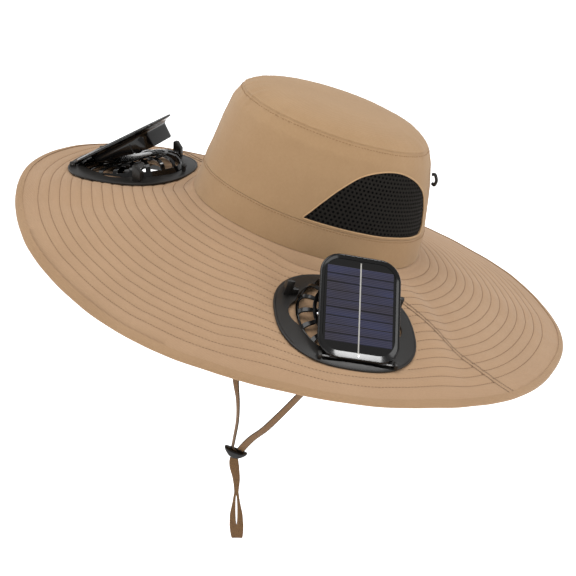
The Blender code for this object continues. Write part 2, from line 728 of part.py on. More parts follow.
def build_rotor(word, frame):
    """Fan: a hub with pitched blades, on the motor's shaft."""
    foot = MOTOR_TOP + GAP
    top = foot + ROTOR_HUB_HEIGHT
    hub = rod_mesh((0, 0, foot), (0, 0, top), ROTOR_HUB_RADIUS, 20)
    rotor = add(f"fan_rotor_{word}", hub, BLACK_PLASTIC, frame)
    for number in range(BLADES):
        blade = box_mesh((ROTOR_HUB_RADIUS - 0.002, -0.006, -BLADE_WALL / 2), (ROTOR_RADIUS, 0.006, BLADE_WALL / 2))
        bmesh.ops.rotate(blade, verts=blade.verts, matrix=Matrix.Rotation(math.radians(BLADE_PITCH), 3, "X"))
        bmesh.ops.translate(blade, verts=blade.verts, vec=(0, 0, (foot + top) / 2))
        turn = Matrix.Rotation(2 * math.pi * number / BLADES, 3, "Z")
        bmesh.ops.rotate(blade, verts=blade.verts, matrix=turn)
        combine(rotor, "UNION", blade, frame)
    bore = rod_mesh((0, 0, foot - 0.001), (0, 0, foot + ROTOR_HUB_HEIGHT * 0.9), SHAFT_RADIUS + RUNNING, 12)
    combine(rotor, "DIFFERENCE", bore, frame)
    return rotor


def lid_frame():
    """The lid's own frame inside a module's: Y runs from its hinge edge to its tip, Z off its face."""
    return Matrix.Translation((LID_SHIFT, -LID_OUT, LID_HEIGHT)) @ Matrix.Rotation(math.radians(LID_ANGLE), 4, "X")


def hinge_axis():
    place = lid_frame() @ Vector((0, PIN_INSET, -PIN_DROP))
    return place.y, place.z


def build_lid(word, frame):
    """The solar lid: a box under a flared plate, with knuckles on the hinge pin."""
    frame = frame @ lid_frame()
    face = rounded(LID_WIDTH, 0, LID_LENGTH, LID_CORNER)
    eased = rounded(LID_WIDTH - 0.001, 0.0005, LID_LENGTH - 0.0005, LID_CORNER - 0.0005)
    recess = rounded(LID_WIDTH - 2 * LID_RIM, LID_RIM, LID_LENGTH - LID_RIM, LID_CORNER - LID_RIM)
    flare = rounded(LID_WIDTH - 0.004, BOX_START - 0.001, LID_LENGTH - 0.002, LID_CORNER - 0.002)
    neck = rounded(BOX_WIDTH, BOX_START, BOX_END, BOX_CORNER)

    def depth(y):
        share = (y - BOX_START) / (BOX_END - BOX_START)
        return -(BOX_DEPTH_HINGE + (BOX_DEPTH_TIP - BOX_DEPTH_HINGE) * share)

    rings = [
        [(x, y, -PANEL_WALL - 2 * GAP) for x, y in recess],
        [(x, y, 0) for x, y in recess],
        [(x, y, 0) for x, y in eased],
        [(x, y, -0.0006) for x, y in face],
        [(x, y, -LID_EDGE) for x, y in face],
        [(x, y, -LID_EDGE - 0.0014) for x, y in flare],
        [(x, y, -NECK_DEPTH) for x, y in neck],
        [(x, y, depth(y)) for x, y in neck],
    ]
    lid = add(f"solar_lid_{word}", skin(rings, True, False), BLACK_PLASTIC, frame)
    for side in (1, -1):
        ends = [(side * x, PIN_INSET, -PIN_DROP) for x in (KNUCKLE_START, KNUCKLE_END)]
        combine(lid, "UNION", rod_mesh(*ends, KNUCKLE_RADIUS, 10), frame)
    bore = rod_mesh((-0.03, PIN_INSET, -PIN_DROP), (0.03, PIN_INSET, -PIN_DROP), PIN_RADIUS + RUNNING)
    combine(lid, "DIFFERENCE", bore, frame)
    panel_outline = rounded(
        LID_WIDTH - 2 * LID_RIM - 2 * GAP, LID_RIM + GAP, LID_LENGTH - LID_RIM - GAP, LID_CORNER - LID_RIM - GAP
    )
    rings = [[(x, y, z) for x, y in panel_outline] for z in (-PANEL_WALL - GAP, -GAP)]
    panel = add(f"solar_panel_{word}", skin(rings, True, False), SOLAR_CELLS, frame)
    return lid, panel


def build_modules():
    for side, word in ((1, "left"), (-1, "right")):
        frame = MODULES[side]
        build_flange(word, frame)
        build_cage(word, frame)
        build_backplate(word, frame)
        rotor = build_rotor(word, frame)
        lid, panel = build_lid(word, frame)
        axis_y, axis_z = hinge_axis()
        pin = rod_mesh((LID_SHIFT - LUG_END, axis_y, axis_z), (LID_SHIFT + LUG_END, axis_y, axis_z), PIN_RADIUS)
        add(f"hinge_pin_{word}", pin, STEEL, frame)
        pivot(f"lid_pivot_{word}", frame @ Vector((LID_SHIFT, axis_y, axis_z)), [lid, panel])
        pivot(f"rotor_pivot_{word}", frame @ Vector((0, 0, MOTOR_TOP)), [rotor])


# Chin strap

def ribbon(name, route, width_at, wall, start_across, end_across):
    """A flat ribbon along a route, whose width turns from one direction to another."""
    sections = []
    last = len(route) - 1
    for number, point in enumerate(route):
        share = number / last
        along = (route[min(number + 1, last)] - route[max(number - 1, 0)]).normalized()
        across = Vector(start_across).lerp(Vector(end_across), smoothstep(share))
        across = (across - along * across.dot(along)).normalized()
        facing = along.cross(across)
        half = width_at(share) / 2
        sections.append([
            point + across * x * half + facing * y * wall / 2 for x, y in ((1, 1), (-1, 1), (-1, -1), (1, -1))
        ])
    return add(name, skin(sections, True, False), STRAP_CLOTH)


def build_lock():
    turn = Matrix.Translation(LOCK_PLACE) @ Matrix.Rotation(math.radians(LOCK_TURN), 4, "Z")
    half_height, half_depth = LOCK_HEIGHT / 2, LOCK_DEPTH / 2
    sections = []
    for row in LOCK_SECTIONS:
        x = row["along"] * LOCK_LENGTH
        y = row["depth"] * half_depth
        up, down = row["up"] * half_height, -row["down"] * half_height
        middle, half = (up + down) / 2, (up - down) / 2
        sections.append([
            Vector((x, y * math.cos(angle), middle + half * math.sin(angle)))
            for angle in (math.radians(22.5 + 45 * step) for step in range(8))
        ])
    add("cord_lock", skin(sections, True, False), BLACK_PLASTIC, turn)


def build_strap():
    turned = (math.cos(math.radians(LOCK_TURN)), math.sin(math.radians(LOCK_TURN)), 0)
    for word, route in (("left", LEFT_LEG), ("right", RIGHT_LEG)):
        ribbon(f"chin_strap_{word}", smooth_route(route, 3), lambda share: STRAP_WIDTH, STRAP_WALL, (0, 1, 0), turned)
    build_lock()
    route = smooth_route(TAIL, 3)

    def tail_width(share):
        return STRAP_WIDTH * read(TAIL_WIDTHS, "along", "width", share)

    tail = ribbon("chin_strap_tail", route, tail_width, 2 * STRAP_WALL, turned, turned)
    last = len(route) - 1
    start, end = (route[round(share * last)] for share in (LOOP_START, LOOP_END))
    along = (end - start).normalized()
    across = Vector(turned)
    across = (across - along * across.dot(along)).normalized()
    facing = along.cross(across)
    outline = [start, (start + end) / 2 + across * LOOP_SLIT / 2, end, (start + end) / 2 - across * LOOP_SLIT / 2]
    rings = [[point + facing * out for point in outline] for out in (-0.006, 0.006)]
    combine(tail, "DIFFERENCE", skin(rings, True, False))


def build_adjuster():
    """The end of the elastic cord that stands out of the crown's back left side."""
    start = crown_point(129.5, 0.80, -ADJUSTER_CORD_RADIUS - GAP)
    end = crown_point(133.5, 0.71, -ADJUSTER_CORD_RADIUS - GAP)
    out = Vector((start.x, start.y + TIP_LEAN, 0)).normalized()
    reach = 0.0050
    points = [
        start,
        start + out * reach * 0.6 + Vector((0, 0, 0.0008)),
        (start + end) / 2 + out * reach,
        end + out * reach * 0.6 - Vector((0, 0, 0.0008)),
        end,
    ]
    curve = bpy.data.curves.new("adjuster_loop", "CURVE")
    curve.dimensions = "3D"
    curve.bevel_depth = ADJUSTER_CORD_RADIUS
    curve.bevel_resolution = 1
    curve.use_fill_caps = True
    route = smooth_route(points, 3)
    spline = curve.splines.new("POLY")
    spline.points.add(len(route) - 1)
    for point, place in zip(spline.points, route):
        point.co = (*place, 1)
    curve.materials.append(BLACK_CORD)
    PARTS.objects.link(bpy.data.objects.new("adjuster_loop", curve))


clear_scene()
PARTS = collection("solar fan hat")
TOOLS = collection("cutters")
CROWN_CLOTH = material("khaki poplin", (0.44, 0.29, 0.175), 0.85)
BRIM_CLOTH = material("khaki quilted poplin", (0.50, 0.33, 0.20), 0.85)
BINDING_CLOTH = material("khaki bias tape", (0.46, 0.31, 0.19), 0.85)
MESH = material("black air mesh", (0.012, 0.012, 0.012), 0.8)
STRAP_CLOTH = material("brown flat braid", (0.26, 0.145, 0.06), 0.8)
BLACK_PLASTIC = material("black ABS", (0.01, 0.01, 0.01), 0.25)
DARK_PLASTIC = material("dark grey ABS", (0.035, 0.033, 0.031), 0.4)
SOLAR_CELLS = material("solar cells", (0.02, 0.02, 0.05), 0.15)
STEEL = material("steel pin", (0.5, 0.5, 0.5), 0.3, 1.0)
BLACK_CORD = material("black elastic cord", (0.012, 0.012, 0.012), 0.7)

build_crown()
build_brim()
build_modules()
build_strap()
build_adjuster()
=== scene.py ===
# %% [markdown]
# # A sun hat with two solar fans
# The real hat is sewn from khaki poplin: a crown with mesh vents, a brim quilted in rings, and a
# bound edge. Two black plastic fan modules sit in holes in the brim, and a flat braid hangs under it
# as a chin strap. The scene starts from the solid model as a frame, so that every piece made here
# lies where its solid lies. Lengths are in metres, Z is up, the front of the hat is towards -Y and
# the wearer's left is towards +X. Bearings are degrees round the crown, counted from the front.

# %% The solid model as a frame
import math

import bmesh
import bpy
from mathutils import Matrix, Vector, noise


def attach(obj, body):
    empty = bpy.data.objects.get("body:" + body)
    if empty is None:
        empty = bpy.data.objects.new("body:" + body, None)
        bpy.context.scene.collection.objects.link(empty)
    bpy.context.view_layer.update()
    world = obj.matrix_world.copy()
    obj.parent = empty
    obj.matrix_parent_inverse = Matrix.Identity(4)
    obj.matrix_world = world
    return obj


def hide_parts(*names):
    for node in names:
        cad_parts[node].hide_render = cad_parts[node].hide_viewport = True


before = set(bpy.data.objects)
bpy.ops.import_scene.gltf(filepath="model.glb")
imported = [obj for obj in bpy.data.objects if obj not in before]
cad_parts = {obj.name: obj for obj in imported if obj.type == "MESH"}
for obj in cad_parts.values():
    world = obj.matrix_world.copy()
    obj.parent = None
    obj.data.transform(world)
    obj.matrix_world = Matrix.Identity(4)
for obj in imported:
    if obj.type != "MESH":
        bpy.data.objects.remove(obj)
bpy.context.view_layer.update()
ROOT = "hat"
SIDES = {"left": 1, "right": -1}
print("nodes in the frame:", len(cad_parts))

# %% [markdown]
# ## The camera
# A hat is photographed from a little above and to one side, here with the camera turned about its
# own line of sight, so the hat seems to tip. The lens is given as the focal length in pixels over
# the frame's width, times Blender's 36 mm sensor.

# %% Camera
FRAME_PIXELS = 576
FOCAL_PIXELS = 1465.7
SENSOR_WIDTH = 36.0
CAMERA_BEARING = 41.78
CAMERA_HEIGHT_ANGLE = 15.81
CAMERA_ROLL = 20.85
CAMERA_DISTANCE = 1.1782
AIM_RIGHT = 0.0054
AIM_UP = -0.0583


def place_camera():
    turn, lift = math.radians(CAMERA_BEARING), math.radians(CAMERA_HEIGHT_ANGLE)
    back = Vector((math.sin(turn) * math.cos(lift), -math.cos(turn) * math.cos(lift), math.sin(lift)))
    right = Vector((math.cos(turn), math.sin(turn), 0))
    up = back.cross(right)
    eye = back * CAMERA_DISTANCE
    aim = right * AIM_RIGHT + up * AIM_UP
    look = (aim - eye).to_track_quat("-Z", "Y").to_matrix()
    roll = Matrix.Rotation(math.radians(CAMERA_ROLL), 3, "Z")
    bpy.ops.object.camera_add(location=eye, rotation=(look @ roll).to_euler())
    camera = bpy.context.object
    camera.data.sensor_width = SENSOR_WIDTH
    camera.data.lens = FOCAL_PIXELS / FRAME_PIXELS * SENSOR_WIDTH
    bpy.context.scene.camera = camera


place_camera()

# %% [markdown]
# ## Sizes of the hat
# These are the sizes of the pattern pieces. The crown is a cone with an oval foot that leans a
# little forwards, and the brim falls from it in straight lines to a wavy edge. A few short tables
# hold what changes from place to place, and the functions below turn a bearing and a share of the
# way into a point on the cloth.

# %% Sizes
CROWN_WALL = 0.0015
BRIM_WALL = 0.0020
GAP = 0.0003
HEAD_LENGTH = 0.199
HEAD_WIDTH = 0.181
CROWN_HEIGHT = 0.088
BAND_HEIGHT = 0.023
TIP_LENGTH = 0.160
TIP_WIDTH = 0.146
TIP_LEAN = 0.010
TIP_RISE = 0.0125
BRIM_WIDTH = 0.150
BRIM_DROP = 0.045
BINDING_WIDTH = 0.005
BINDING_HEIGHT = 0.0034
SEAM_FOOT = 78.0
SEAM_EDGE = 97.5
MODULE_BEARING = 61.3
MODULE_OFFSET = 0.06135
MODULE_DROP = 0.0222
MODULE_SLOPE = 16.4
MODULE_NOSE = 6.5
FLANGE_HALF = 0.053
FLANGE_REACH = 0.051
FLANGE_POWER = 2.4
SEAT_FLAT = 1.04      # the brim is flat to this share of the flange, and runs out over the next
SEAT_BLEND = 0.75
CLOTH_HOLE_HALF_WIDTH = 0.0215
CLOTH_HOLE_HALF_LENGTH = 0.0245

# Height share, then shares of the way from foot size to tip size and of TIP_LEAN
CROWN_TAPER = [
    (0.0, 0.0, 0.0), (0.26, 0.14, 0.14), (0.45, 0.30, 0.36),
    (0.68, 0.47, 0.66), (0.88, 0.70, 0.92), (1.0, 1.0, 1.0),
]
# Share of the tip's reach, then share of its rise
TIP_DOME = [
    (0.0, 1.0), (0.25, 0.98), (0.45, 0.94), (0.66, 0.82),
    (0.82, 0.64), (0.91, 0.44), (0.96, 0.26), (1.0, 0.0),
]
# Bearing, then shares of BRIM_WIDTH and BRIM_DROP
BRIM_OUTLINE = [
    (0, 0.710, 1.667), (30, 0.809, 1.447), (60, 0.936, 1.033), (90, 0.916, 0.800),
    (120, 0.896, 0.767), (150, 1.017, 0.753), (180, 1.109, 0.733),
]
# Bearing, then the lower and upper edge of a vent as shares of CROWN_HEIGHT
VENT_OUTLINE = [
    (43.0, 0.285, 0.293), (46.0, 0.285, 0.365), (50.0, 0.285, 0.465), (57.0, 0.285, 0.615),
    (66.0, 0.285, 0.750), (77.0, 0.285, 0.825), (90.0, 0.285, 0.845), (102.0, 0.285, 0.800),
    (112.0, 0.285, 0.715), (118.0, 0.300, 0.620), (121.0, 0.370, 0.500),
]


def read(table, value, column=1):
    for row, after in zip(table, table[1:]):
        if value <= after[0]:
            share = (value - row[0]) / (after[0] - row[0])
            return row[column] + (after[column] - row[column]) * share
    return table[-1][column]


def catmull(before, start, end, after, share):
    return 0.5 * (
        2 * start
        + (end - before) * share
        + (2 * before - 5 * start + 4 * end - after) * share**2
        + (3 * start - before - 3 * end + after) * share**3
    )


def smoothstep(share):
    share = min(max(share, 0.0), 1.0)
    return share * share * (3 - 2 * share)


def crown_point(bearing, height, inset=0.0):
    taper = read(CROWN_TAPER, height)
    lean = TIP_LEAN * read(CROWN_TAPER, height, 2)
    half_length = (HEAD_LENGTH + (TIP_LENGTH - HEAD_LENGTH) * taper) / 2 - inset
    half_width = (HEAD_WIDTH + (TIP_WIDTH - HEAD_WIDTH) * taper) / 2 - inset
    turn = math.radians(bearing)
    return Vector((
        half_width * math.sin(turn),
        -half_length * math.cos(turn) - lean,
        CROWN_HEIGHT * height,
    ))


def brim_outline(bearing, column):
    step = BRIM_OUTLINE[1][0]
    place = abs((bearing + 180) % 360 - 180) / step
    last = len(BRIM_OUTLINE) - 1
    first = min(int(place), last - 1)
    rows = [abs(first - 1), first, first + 1, last - abs(last - first - 2)]
    return catmull(*(BRIM_OUTLINE[row][column] for row in rows), place - first)


def module_frame(side):
    """The seat of a module: X along the brim to the back, Y to the crown, Z up off the cloth."""
    turn = math.radians(MODULE_BEARING)
    out = Vector((side * math.sin(turn), -math.cos(turn), 0))
    back = Vector((side * math.cos(turn), math.sin(turn), 0))
    up = Vector((0, 0, 1))
    up += out * math.tan(math.radians(MODULE_SLOPE)) - back * math.tan(math.radians(MODULE_NOSE))
    up.normalize()
    along = (back - up * back.dot(up)).normalized()
    inwards = up.cross(along) * side
    seat = Matrix((along, inwards, up)).transposed().to_4x4()
    foot = crown_point(MODULE_BEARING, 0.0)
    reach = MODULE_OFFSET + math.hypot(foot.x, foot.y)
    seat.translation = out * reach + Vector((0, 0, -MODULE_DROP))
    return seat


SEATS = {word: module_frame(side) for word, side in SIDES.items()}
SEATS_BACK = {word: seat.inverted() for word, seat in SEATS.items()}


def brim_point(bearing, share, depth=0.0):
    """A point of the brim, with its flat seats under the modules."""
    foot = crown_point(bearing, 0.0)
    outwards = Vector((foot.x, foot.y, 0)).normalized()
    point = foot + outwards * BRIM_WIDTH * brim_outline(bearing, 1) * share
    point.z -= BRIM_DROP * brim_outline(bearing, 2) * share
    for word, seat in SEATS.items():
        local = SEATS_BACK[word] @ point
        size = (abs(local.x) ** FLANGE_POWER + abs(local.y) ** FLANGE_POWER) ** (1 / FLANGE_POWER)
        weight = (1 - smoothstep((size / FLANGE_HALF - SEAT_FLAT) / SEAT_BLEND)) * smoothstep(share / 0.06)
        if weight > 0:
            slope = seat.to_3x3() @ Vector((0, 0, 1))
            point.z -= (point - seat.translation).dot(slope) / slope.z * weight
    point.z -= depth
    return point


def seam_bearing(share):
    return SEAM_FOOT + (SEAM_EDGE - SEAM_FOOT) * share


print("brim edge at the front:", [round(c, 3) for c in brim_point(0, 1.0)])

# %% [markdown]
# ## Small helpers
# Cloth is laid out as a sheet of points and closed into a wall, because no primitive has its shape.
# Plastic pieces start from primitives. Each finished piece is given its finish, its body and the
# solid that it stands for.

# %% Helpers
MADE = {}


def steps(start, end, count):
    return [start + (end - start) * step / count for step in range(count + 1)]


def skin(rings, closed_rings=True, closed_stack=False):
    """A mesh of quads between rings of points, with the open ends of a stack filled."""
    mesh = bmesh.new()
    rows = [[mesh.verts.new(point) for point in ring] for ring in rings]
    count = len(rows[0])
    pairs = list(zip(rows, rows[1:] + rows[:1]))
    for row, after in pairs if closed_stack else pairs[:-1]:
        for number in range(count if closed_rings else count - 1):
            nearby = (number + 1) % count
            mesh.faces.new((row[number], row[nearby], after[nearby], after[number]))
    if closed_rings and not closed_stack:
        mesh.faces.new(rows[0])
        mesh.faces.new(rows[-1])
    bmesh.ops.remove_doubles(mesh, verts=mesh.verts, dist=1e-7)
    bmesh.ops.recalc_face_normals(mesh, faces=mesh.faces)
    return mesh


def as_object(name, mesh):
    data = bpy.data.meshes.new(name)
    mesh.to_mesh(data)
    mesh.free()
    obj = bpy.data.objects.new(name, data)
    bpy.context.collection.objects.link(obj)
    return obj


def choose(*objs):
    bpy.ops.object.select_all(action="DESELECT")
    for obj in objs:
        obj.select_set(True)
    bpy.context.view_layer.objects.active = objs[0]


def apply_modifiers(obj):
    choose(obj)
    for modifier in list(obj.modifiers):
        bpy.ops.object.modifier_apply(modifier=modifier.name)
    return obj


def bevelled(obj, width, segments=2):
    modifier = obj.modifiers.new("bevel", "BEVEL")
    modifier.width = width
    modifier.segments = segments
    modifier.limit_method = "ANGLE"
    return apply_modifiers(obj)


def boolean(obj, other, operation="DIFFERENCE"):
    modifier = obj.modifiers.new(operation, "BOOLEAN")
    modifier.operation = operation
    modifier.object = other
    apply_modifiers(obj)
    bpy.data.objects.remove(other)
    return obj


def joined(name, *objs):
    choose(*objs)
    bpy.ops.object.join()
    bpy.context.object.name = name
    return bpy.context.object


def block(low, high, bevel=0.0):
    """A bevelled box between two corners."""
    low, high = Vector(low), Vector(high)
    bpy.ops.object.select_all(action="DESELECT")
    bpy.ops.mesh.primitive_cube_add(size=1, location=(low + high) / 2, scale=high - low)
    obj = bpy.context.object
    bpy.ops.object.transform_apply(location=True, rotation=True, scale=True)
    return bevelled(obj, bevel) if bevel else obj


def rod(start, end, radius, sides=24, bevel=0.0):
    start, end = Vector(start), Vector(end)
    bpy.ops.object.select_all(action="DESELECT")
    bpy.ops.mesh.primitive_cylinder_add(
        vertices=sides,
        radius=radius,
        depth=(end - start).length,
        location=(start + end) / 2,
        rotation=(end - start).to_track_quat("Z", "Y").to_euler(),
    )
    obj = bpy.context.object
    bpy.ops.object.transform_apply(location=True, rotation=True, scale=True)
    return bevelled(obj, bevel) if bevel else obj


def seated(obj, seat):
    """Moves a piece from a module's own frame into the hat's, turning its faces out again."""
    mesh = bmesh.new()
    mesh.from_mesh(obj.data)
    bmesh.ops.transform(mesh, matrix=seat, verts=mesh.verts)
    if seat.determinant() < 0:
        bmesh.ops.reverse_faces(mesh, faces=mesh.faces)
    mesh.to_mesh(obj.data)
    mesh.free()
    return obj


def piece(obj, finish, slot, body, *nodes, angle=35):
    """Finishes a piece: its material, smooth shading, body and the solids it stands for. The slot is not
    used.
    """
    obj.data.materials.clear()
    obj.data.materials.append(finish)
    if obj.type == "MESH":
        choose(obj)
        bpy.ops.object.shade_smooth_by_angle(angle=math.radians(angle))
    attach(obj, body)
    if nodes:
        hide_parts(*nodes)
    MADE[obj.name] = obj
    return obj


def smooth_route(points, count):
    points = [Vector(point) for point in points]
    padded = [2 * points[0] - points[1], *points, 2 * points[-1] - points[-2]]
    route = []
    for number in range(len(points) - 1):
        for step in range(count):
            route.append(catmull(*padded[number:number + 4], step / count))
    return route + [points[-1]]


# %% [markdown]
# ## Materials
# A finish is a Principled shader fed by a few texture nodes. One helper adds any node, with its
# settings and links, so the recipes stay short. Colours are written as the sRGB values that one
# would pick on a screen and are turned into the linear light that the shader needs.


# %% Material helpers
def hex_colour(code):
    values = [int(code[place:place + 2], 16) / 255 for place in (1, 3, 5)]
    linear = [v / 12.92 if v <= 0.04045 else ((v + 0.055) / 1.055) ** 2.4 for v in values]
    return (*linear, 1.0)


def add_node(tree, kind, links=None, **settings):
    node = tree.nodes.new(kind)
    for name, value in settings.items():
        if hasattr(node, name):
            setattr(node, name, value)
        else:
            node.inputs[name.replace("_", " ")].default_value = value
    for name, output in (links or {}).items():
        tree.links.new(output, node.inputs[name])
    return node


def new_material(name, colour, roughness, **sockets):
    made = bpy.data.materials.new(name)
    made.use_nodes = True
    shader = made.node_tree.nodes["Principled BSDF"]
    shader.inputs["Base Color"].default_value = hex_colour(colour)
    shader.inputs["Roughness"].default_value = roughness
    for key, value in sockets.items():
        shader.inputs[key.replace("_", " ")].default_value = value
    return made, made.node_tree, shader


def plain(name, colour, roughness, **sockets):
    return new_material(name, colour, roughness, **sockets)[0]


def mix_colours(tree, factor, first, second, blend="MIX"):
    """A node has a socket for each kind of value, and the colours are its inputs 6 and 7."""
    node = add_node(tree, "ShaderNodeMix", {"Factor": factor}, data_type="RGBA", blend_type=blend)
    tree.links.new(first, node.inputs[6])
    node.inputs[7].default_value = second
    return node.outputs[2]


def object_coordinates(tree):
    return add_node(tree, "ShaderNodeTexCoord").outputs["Object"]


def bump(tree, shader, height, distance, strength=1.0):
    node = add_node(tree, "ShaderNodeBump", {"Height": height}, Strength=strength, Distance=distance)
    tree.links.new(node.outputs["Normal"], shader.inputs["Normal"])


# %% [markdown]
# ### Poplin
# Poplin is a fine plain weave, about 0.4 mm from thread to thread here, too fine to show, so it is
# drawn at 0.8 mm as a faint bump from two crossed waves. A soft noise a few centimetres wide gives
# the uneven shade of washed cotton, a bump about 2 cm wide gives its soft creases, and a small sheen
# gives the fuzz at the edge of a form.


# %% Poplin
CREASE_SHARE = 7.0      # how much deeper the creases are than the weave


def poplin(name, light, dark, thread=0.0008):
    made, tree, shader = new_material(name, light, 0.86, Sheen_Weight=0.12, Sheen_Roughness=0.5)
    where = object_coordinates(tree)
    shade = add_node(tree, "ShaderNodeTexNoise", {"Vector": where}, Scale=16.0, Detail=4.0, Roughness=0.6)
    colours = add_node(tree, "ShaderNodeValToRGB", {"Fac": shade.outputs["Fac"]})
    colours.color_ramp.elements[0].position = 0.32
    colours.color_ramp.elements[1].position = 0.68
    colours.color_ramp.elements[0].color = hex_colour(dark)
    colours.color_ramp.elements[1].color = hex_colour(light)
    slub = add_node(tree, "ShaderNodeTexNoise", {"Vector": where}, Scale=520.0, Detail=2.0)
    fleck = mix_colours(
        tree, slub.outputs["Fac"], colours.outputs["Color"], (0.42, 0.42, 0.42, 1.0), "SOFT_LIGHT"
    )
    tree.links.new(fleck, shader.inputs["Base Color"])
    scale = 1 / (thread * 2 * math.pi) * 2
    first, second = (
        add_node(
            tree, "ShaderNodeTexWave", {"Vector": where}, bands_direction=way, Scale=scale, Distortion=1.5
        ).outputs["Fac"]
        for way in ("Z", "DIAGONAL")
    )
    cross = add_node(tree, "ShaderNodeMath", {0: first, 1: second}, operation="ADD")
    rough = add_node(tree, "ShaderNodeMath", {0: cross.outputs[0], 1: slub.outputs["Fac"]}, operation="ADD")
    creases = add_node(tree, "ShaderNodeTexNoise", {"Vector": where}, Scale=42.0, Detail=3.0, Distortion=0.8)
    height = add_node(
        tree, "ShaderNodeMath", {0: creases.outputs["Fac"], 2: rough.outputs[0]}, operation="MULTIPLY_ADD"
    )
    height.inputs[1].default_value = CREASE_SHARE
    bump(tree, shader, height.outputs[0], 0.00012, 0.55)
    return made


CROWN_CLOTH = poplin("poplin crown cloth", "#A88863", "#A1815C")
BRIM_CLOTH = poplin("poplin brim cloth", "#AC8C6C", "#A68666")
BINDING_CLOTH = poplin("bias tape binding", "#A58563", "#9D7D5B")
# Darker than the other thread. It draws the lap seams' stitching, and a nearly unbroken row of it over each
# seam's gap is a painted shadow line.
SEAM_THREAD_AND_SHADOW = plain("seam thread and painted seam shadow", "#553B22", 0.75, Sheen_Weight=0.05)
CROWN_THREAD = plain("spun polyester crown thread", "#8E6D49", 0.75, Sheen_Weight=0.05)
THREAD = plain("spun polyester thread", "#6F5133", 0.75, Sheen_Weight=0.05)
PIPING_CLOTH = plain("rolled poplin piping", "#B5926A", 0.8, Sheen_Weight=0.12)

# %% [markdown]
# ### Braid, mesh and plastics
# The strap is a flat polyester braid, whose plaited yarns show as small cells with a bump, and whose
# locked edges are darker. The vents are black polyester air mesh with a dull shine. The modules are
# moulded ABS: polished black where a tool is polished, and spark-eroded to a satin grain on the
# flange. A solar cell is dark blue silicon with silver fingers printed across it, 1.2 mm apart.


# %% Braid
def braid():
    made, tree, shader = new_material("flat polyester braid", "#6F4E27", 0.75, Sheen_Weight=0.08)
    where = object_coordinates(tree)
    weave = add_node(tree, "ShaderNodeTexVoronoi", {"Vector": where}, Scale=900.0, Randomness=0.6)
    shade = add_node(tree, "ShaderNodeValToRGB", {"Fac": weave.outputs["Distance"]})
    shade.color_ramp.elements[0].color = hex_colour("#79562C")
    shade.color_ramp.elements[1].color = hex_colour("#4A3218")
    tree.links.new(shade.outputs["Color"], shader.inputs["Base Color"])
    bump(tree, shader, weave.outputs["Distance"], 0.0002, 0.6)
    return made


def worn(tree, shader, scale, detail, low, high):
    """Handling leaves some places a little rougher than others."""
    wear = add_node(
        tree, "ShaderNodeTexNoise", {"Vector": object_coordinates(tree)}, Scale=scale, Detail=detail
    )
    rough = add_node(tree, "ShaderNodeMapRange", {"Value": wear.outputs["Fac"]}, To_Min=low, To_Max=high)
    tree.links.new(rough.outputs[0], shader.inputs["Roughness"])


def satin_abs():
    made, tree, shader = new_material("satin moulded ABS", "#1E1C1A", 0.34, Specular_IOR_Level=0.4)
    where = object_coordinates(tree)
    grain = add_node(tree, "ShaderNodeTexNoise", {"Vector": where}, Scale=1800.0, Detail=2.0)
    bump(tree, shader, grain.outputs["Fac"], 0.00006, 0.35)
    worn(tree, shader, 60.0, 3.0, 0.30, 0.42)
    return made


def gloss_abs():
    made, tree, shader = new_material(
        "polished moulded ABS", "#080707", 0.12, Specular_IOR_Level=0.3, Coat_Weight=0.15, Coat_Roughness=0.04
    )
    worn(tree, shader, 45.0, 4.0, 0.10, 0.22)
    return made


def silicon():
    made, tree, shader = new_material(
        "silicon cell under resin", "#24233C", 0.3,
        Specular_IOR_Level=0.3, Coat_Weight=0.2, Coat_Roughness=0.04,
    )
    flat = add_node(tree, "ShaderNodeTexCoord").outputs["UV"]
    wide = add_node(tree, "ShaderNodeMapping", {"Vector": flat})
    wide.inputs["Scale"].default_value = (0.2, 1.0, 1.0)
    cloud = add_node(tree, "ShaderNodeTexNoise", {"Vector": wide.outputs["Vector"]}, Scale=0.055, Detail=2.0)
    blue = add_node(tree, "ShaderNodeValToRGB", {"Fac": cloud.outputs["Fac"]})
    for element, place, code in zip(blue.color_ramp.elements, (0.42, 0.66), ("#1D1A24", "#212745")):
        element.position = place
        element.color = hex_colour(code)
    # The map is in millimetres, and a band of a wave is 2 pi / 20 wide at scale 1
    wave = add_node(tree, "ShaderNodeTexWave", {"Vector": flat}, bands_direction="Y", Scale=0.262)
    line = add_node(
        tree, "ShaderNodeMapRange", {"Value": wave.outputs["Fac"]}, From_Min=0.62, From_Max=0.95, To_Max=0.6
    )
    finger = mix_colours(tree, line.outputs[0], blue.outputs["Color"], hex_colour("#4E4A5A"))
    tree.links.new(finger, shader.inputs["Base Color"])
    return made


BRAID = braid()
BRAID_EDGE = plain("locked edge of the braid", "#38260F", 0.8, Sheen_Weight=0.05)
CELL = silicon()
SATIN_ABS = satin_abs()
GLOSS_ABS = gloss_abs()
MESH_YARN = plain("black air mesh yarn", "#1A1713", 0.75, Specular_IOR_Level=0.2)
# The lining is real, but its near-black colour, darker than the yarn, is painted shade seen through the
# holes.
MESH_BACK_AND_HOLE_SHADE = plain("black air mesh lining with painted hole shade", "#030303", 0.9, Specular_IOR_Level=0.1)
ELASTIC = plain("black covered elastic", "#0E0D0C", 0.7, Sheen_Weight=0.05)
STEEL = plain("drawn steel wire", "#8C8C8C", 0.3, Metallic=1.0)
BUSBAR = plain(
    "tinned busbar under resin", "#B9B6B0", 0.35, Metallic=0.6, Coat_Weight=1.0, Coat_Roughness=0.03
)
BOARD = plain(
    "black solder mask under resin", "#080707", 0.25,
    Specular_IOR_Level=0.3, Coat_Weight=0.15, Coat_Roughness=0.04,
)

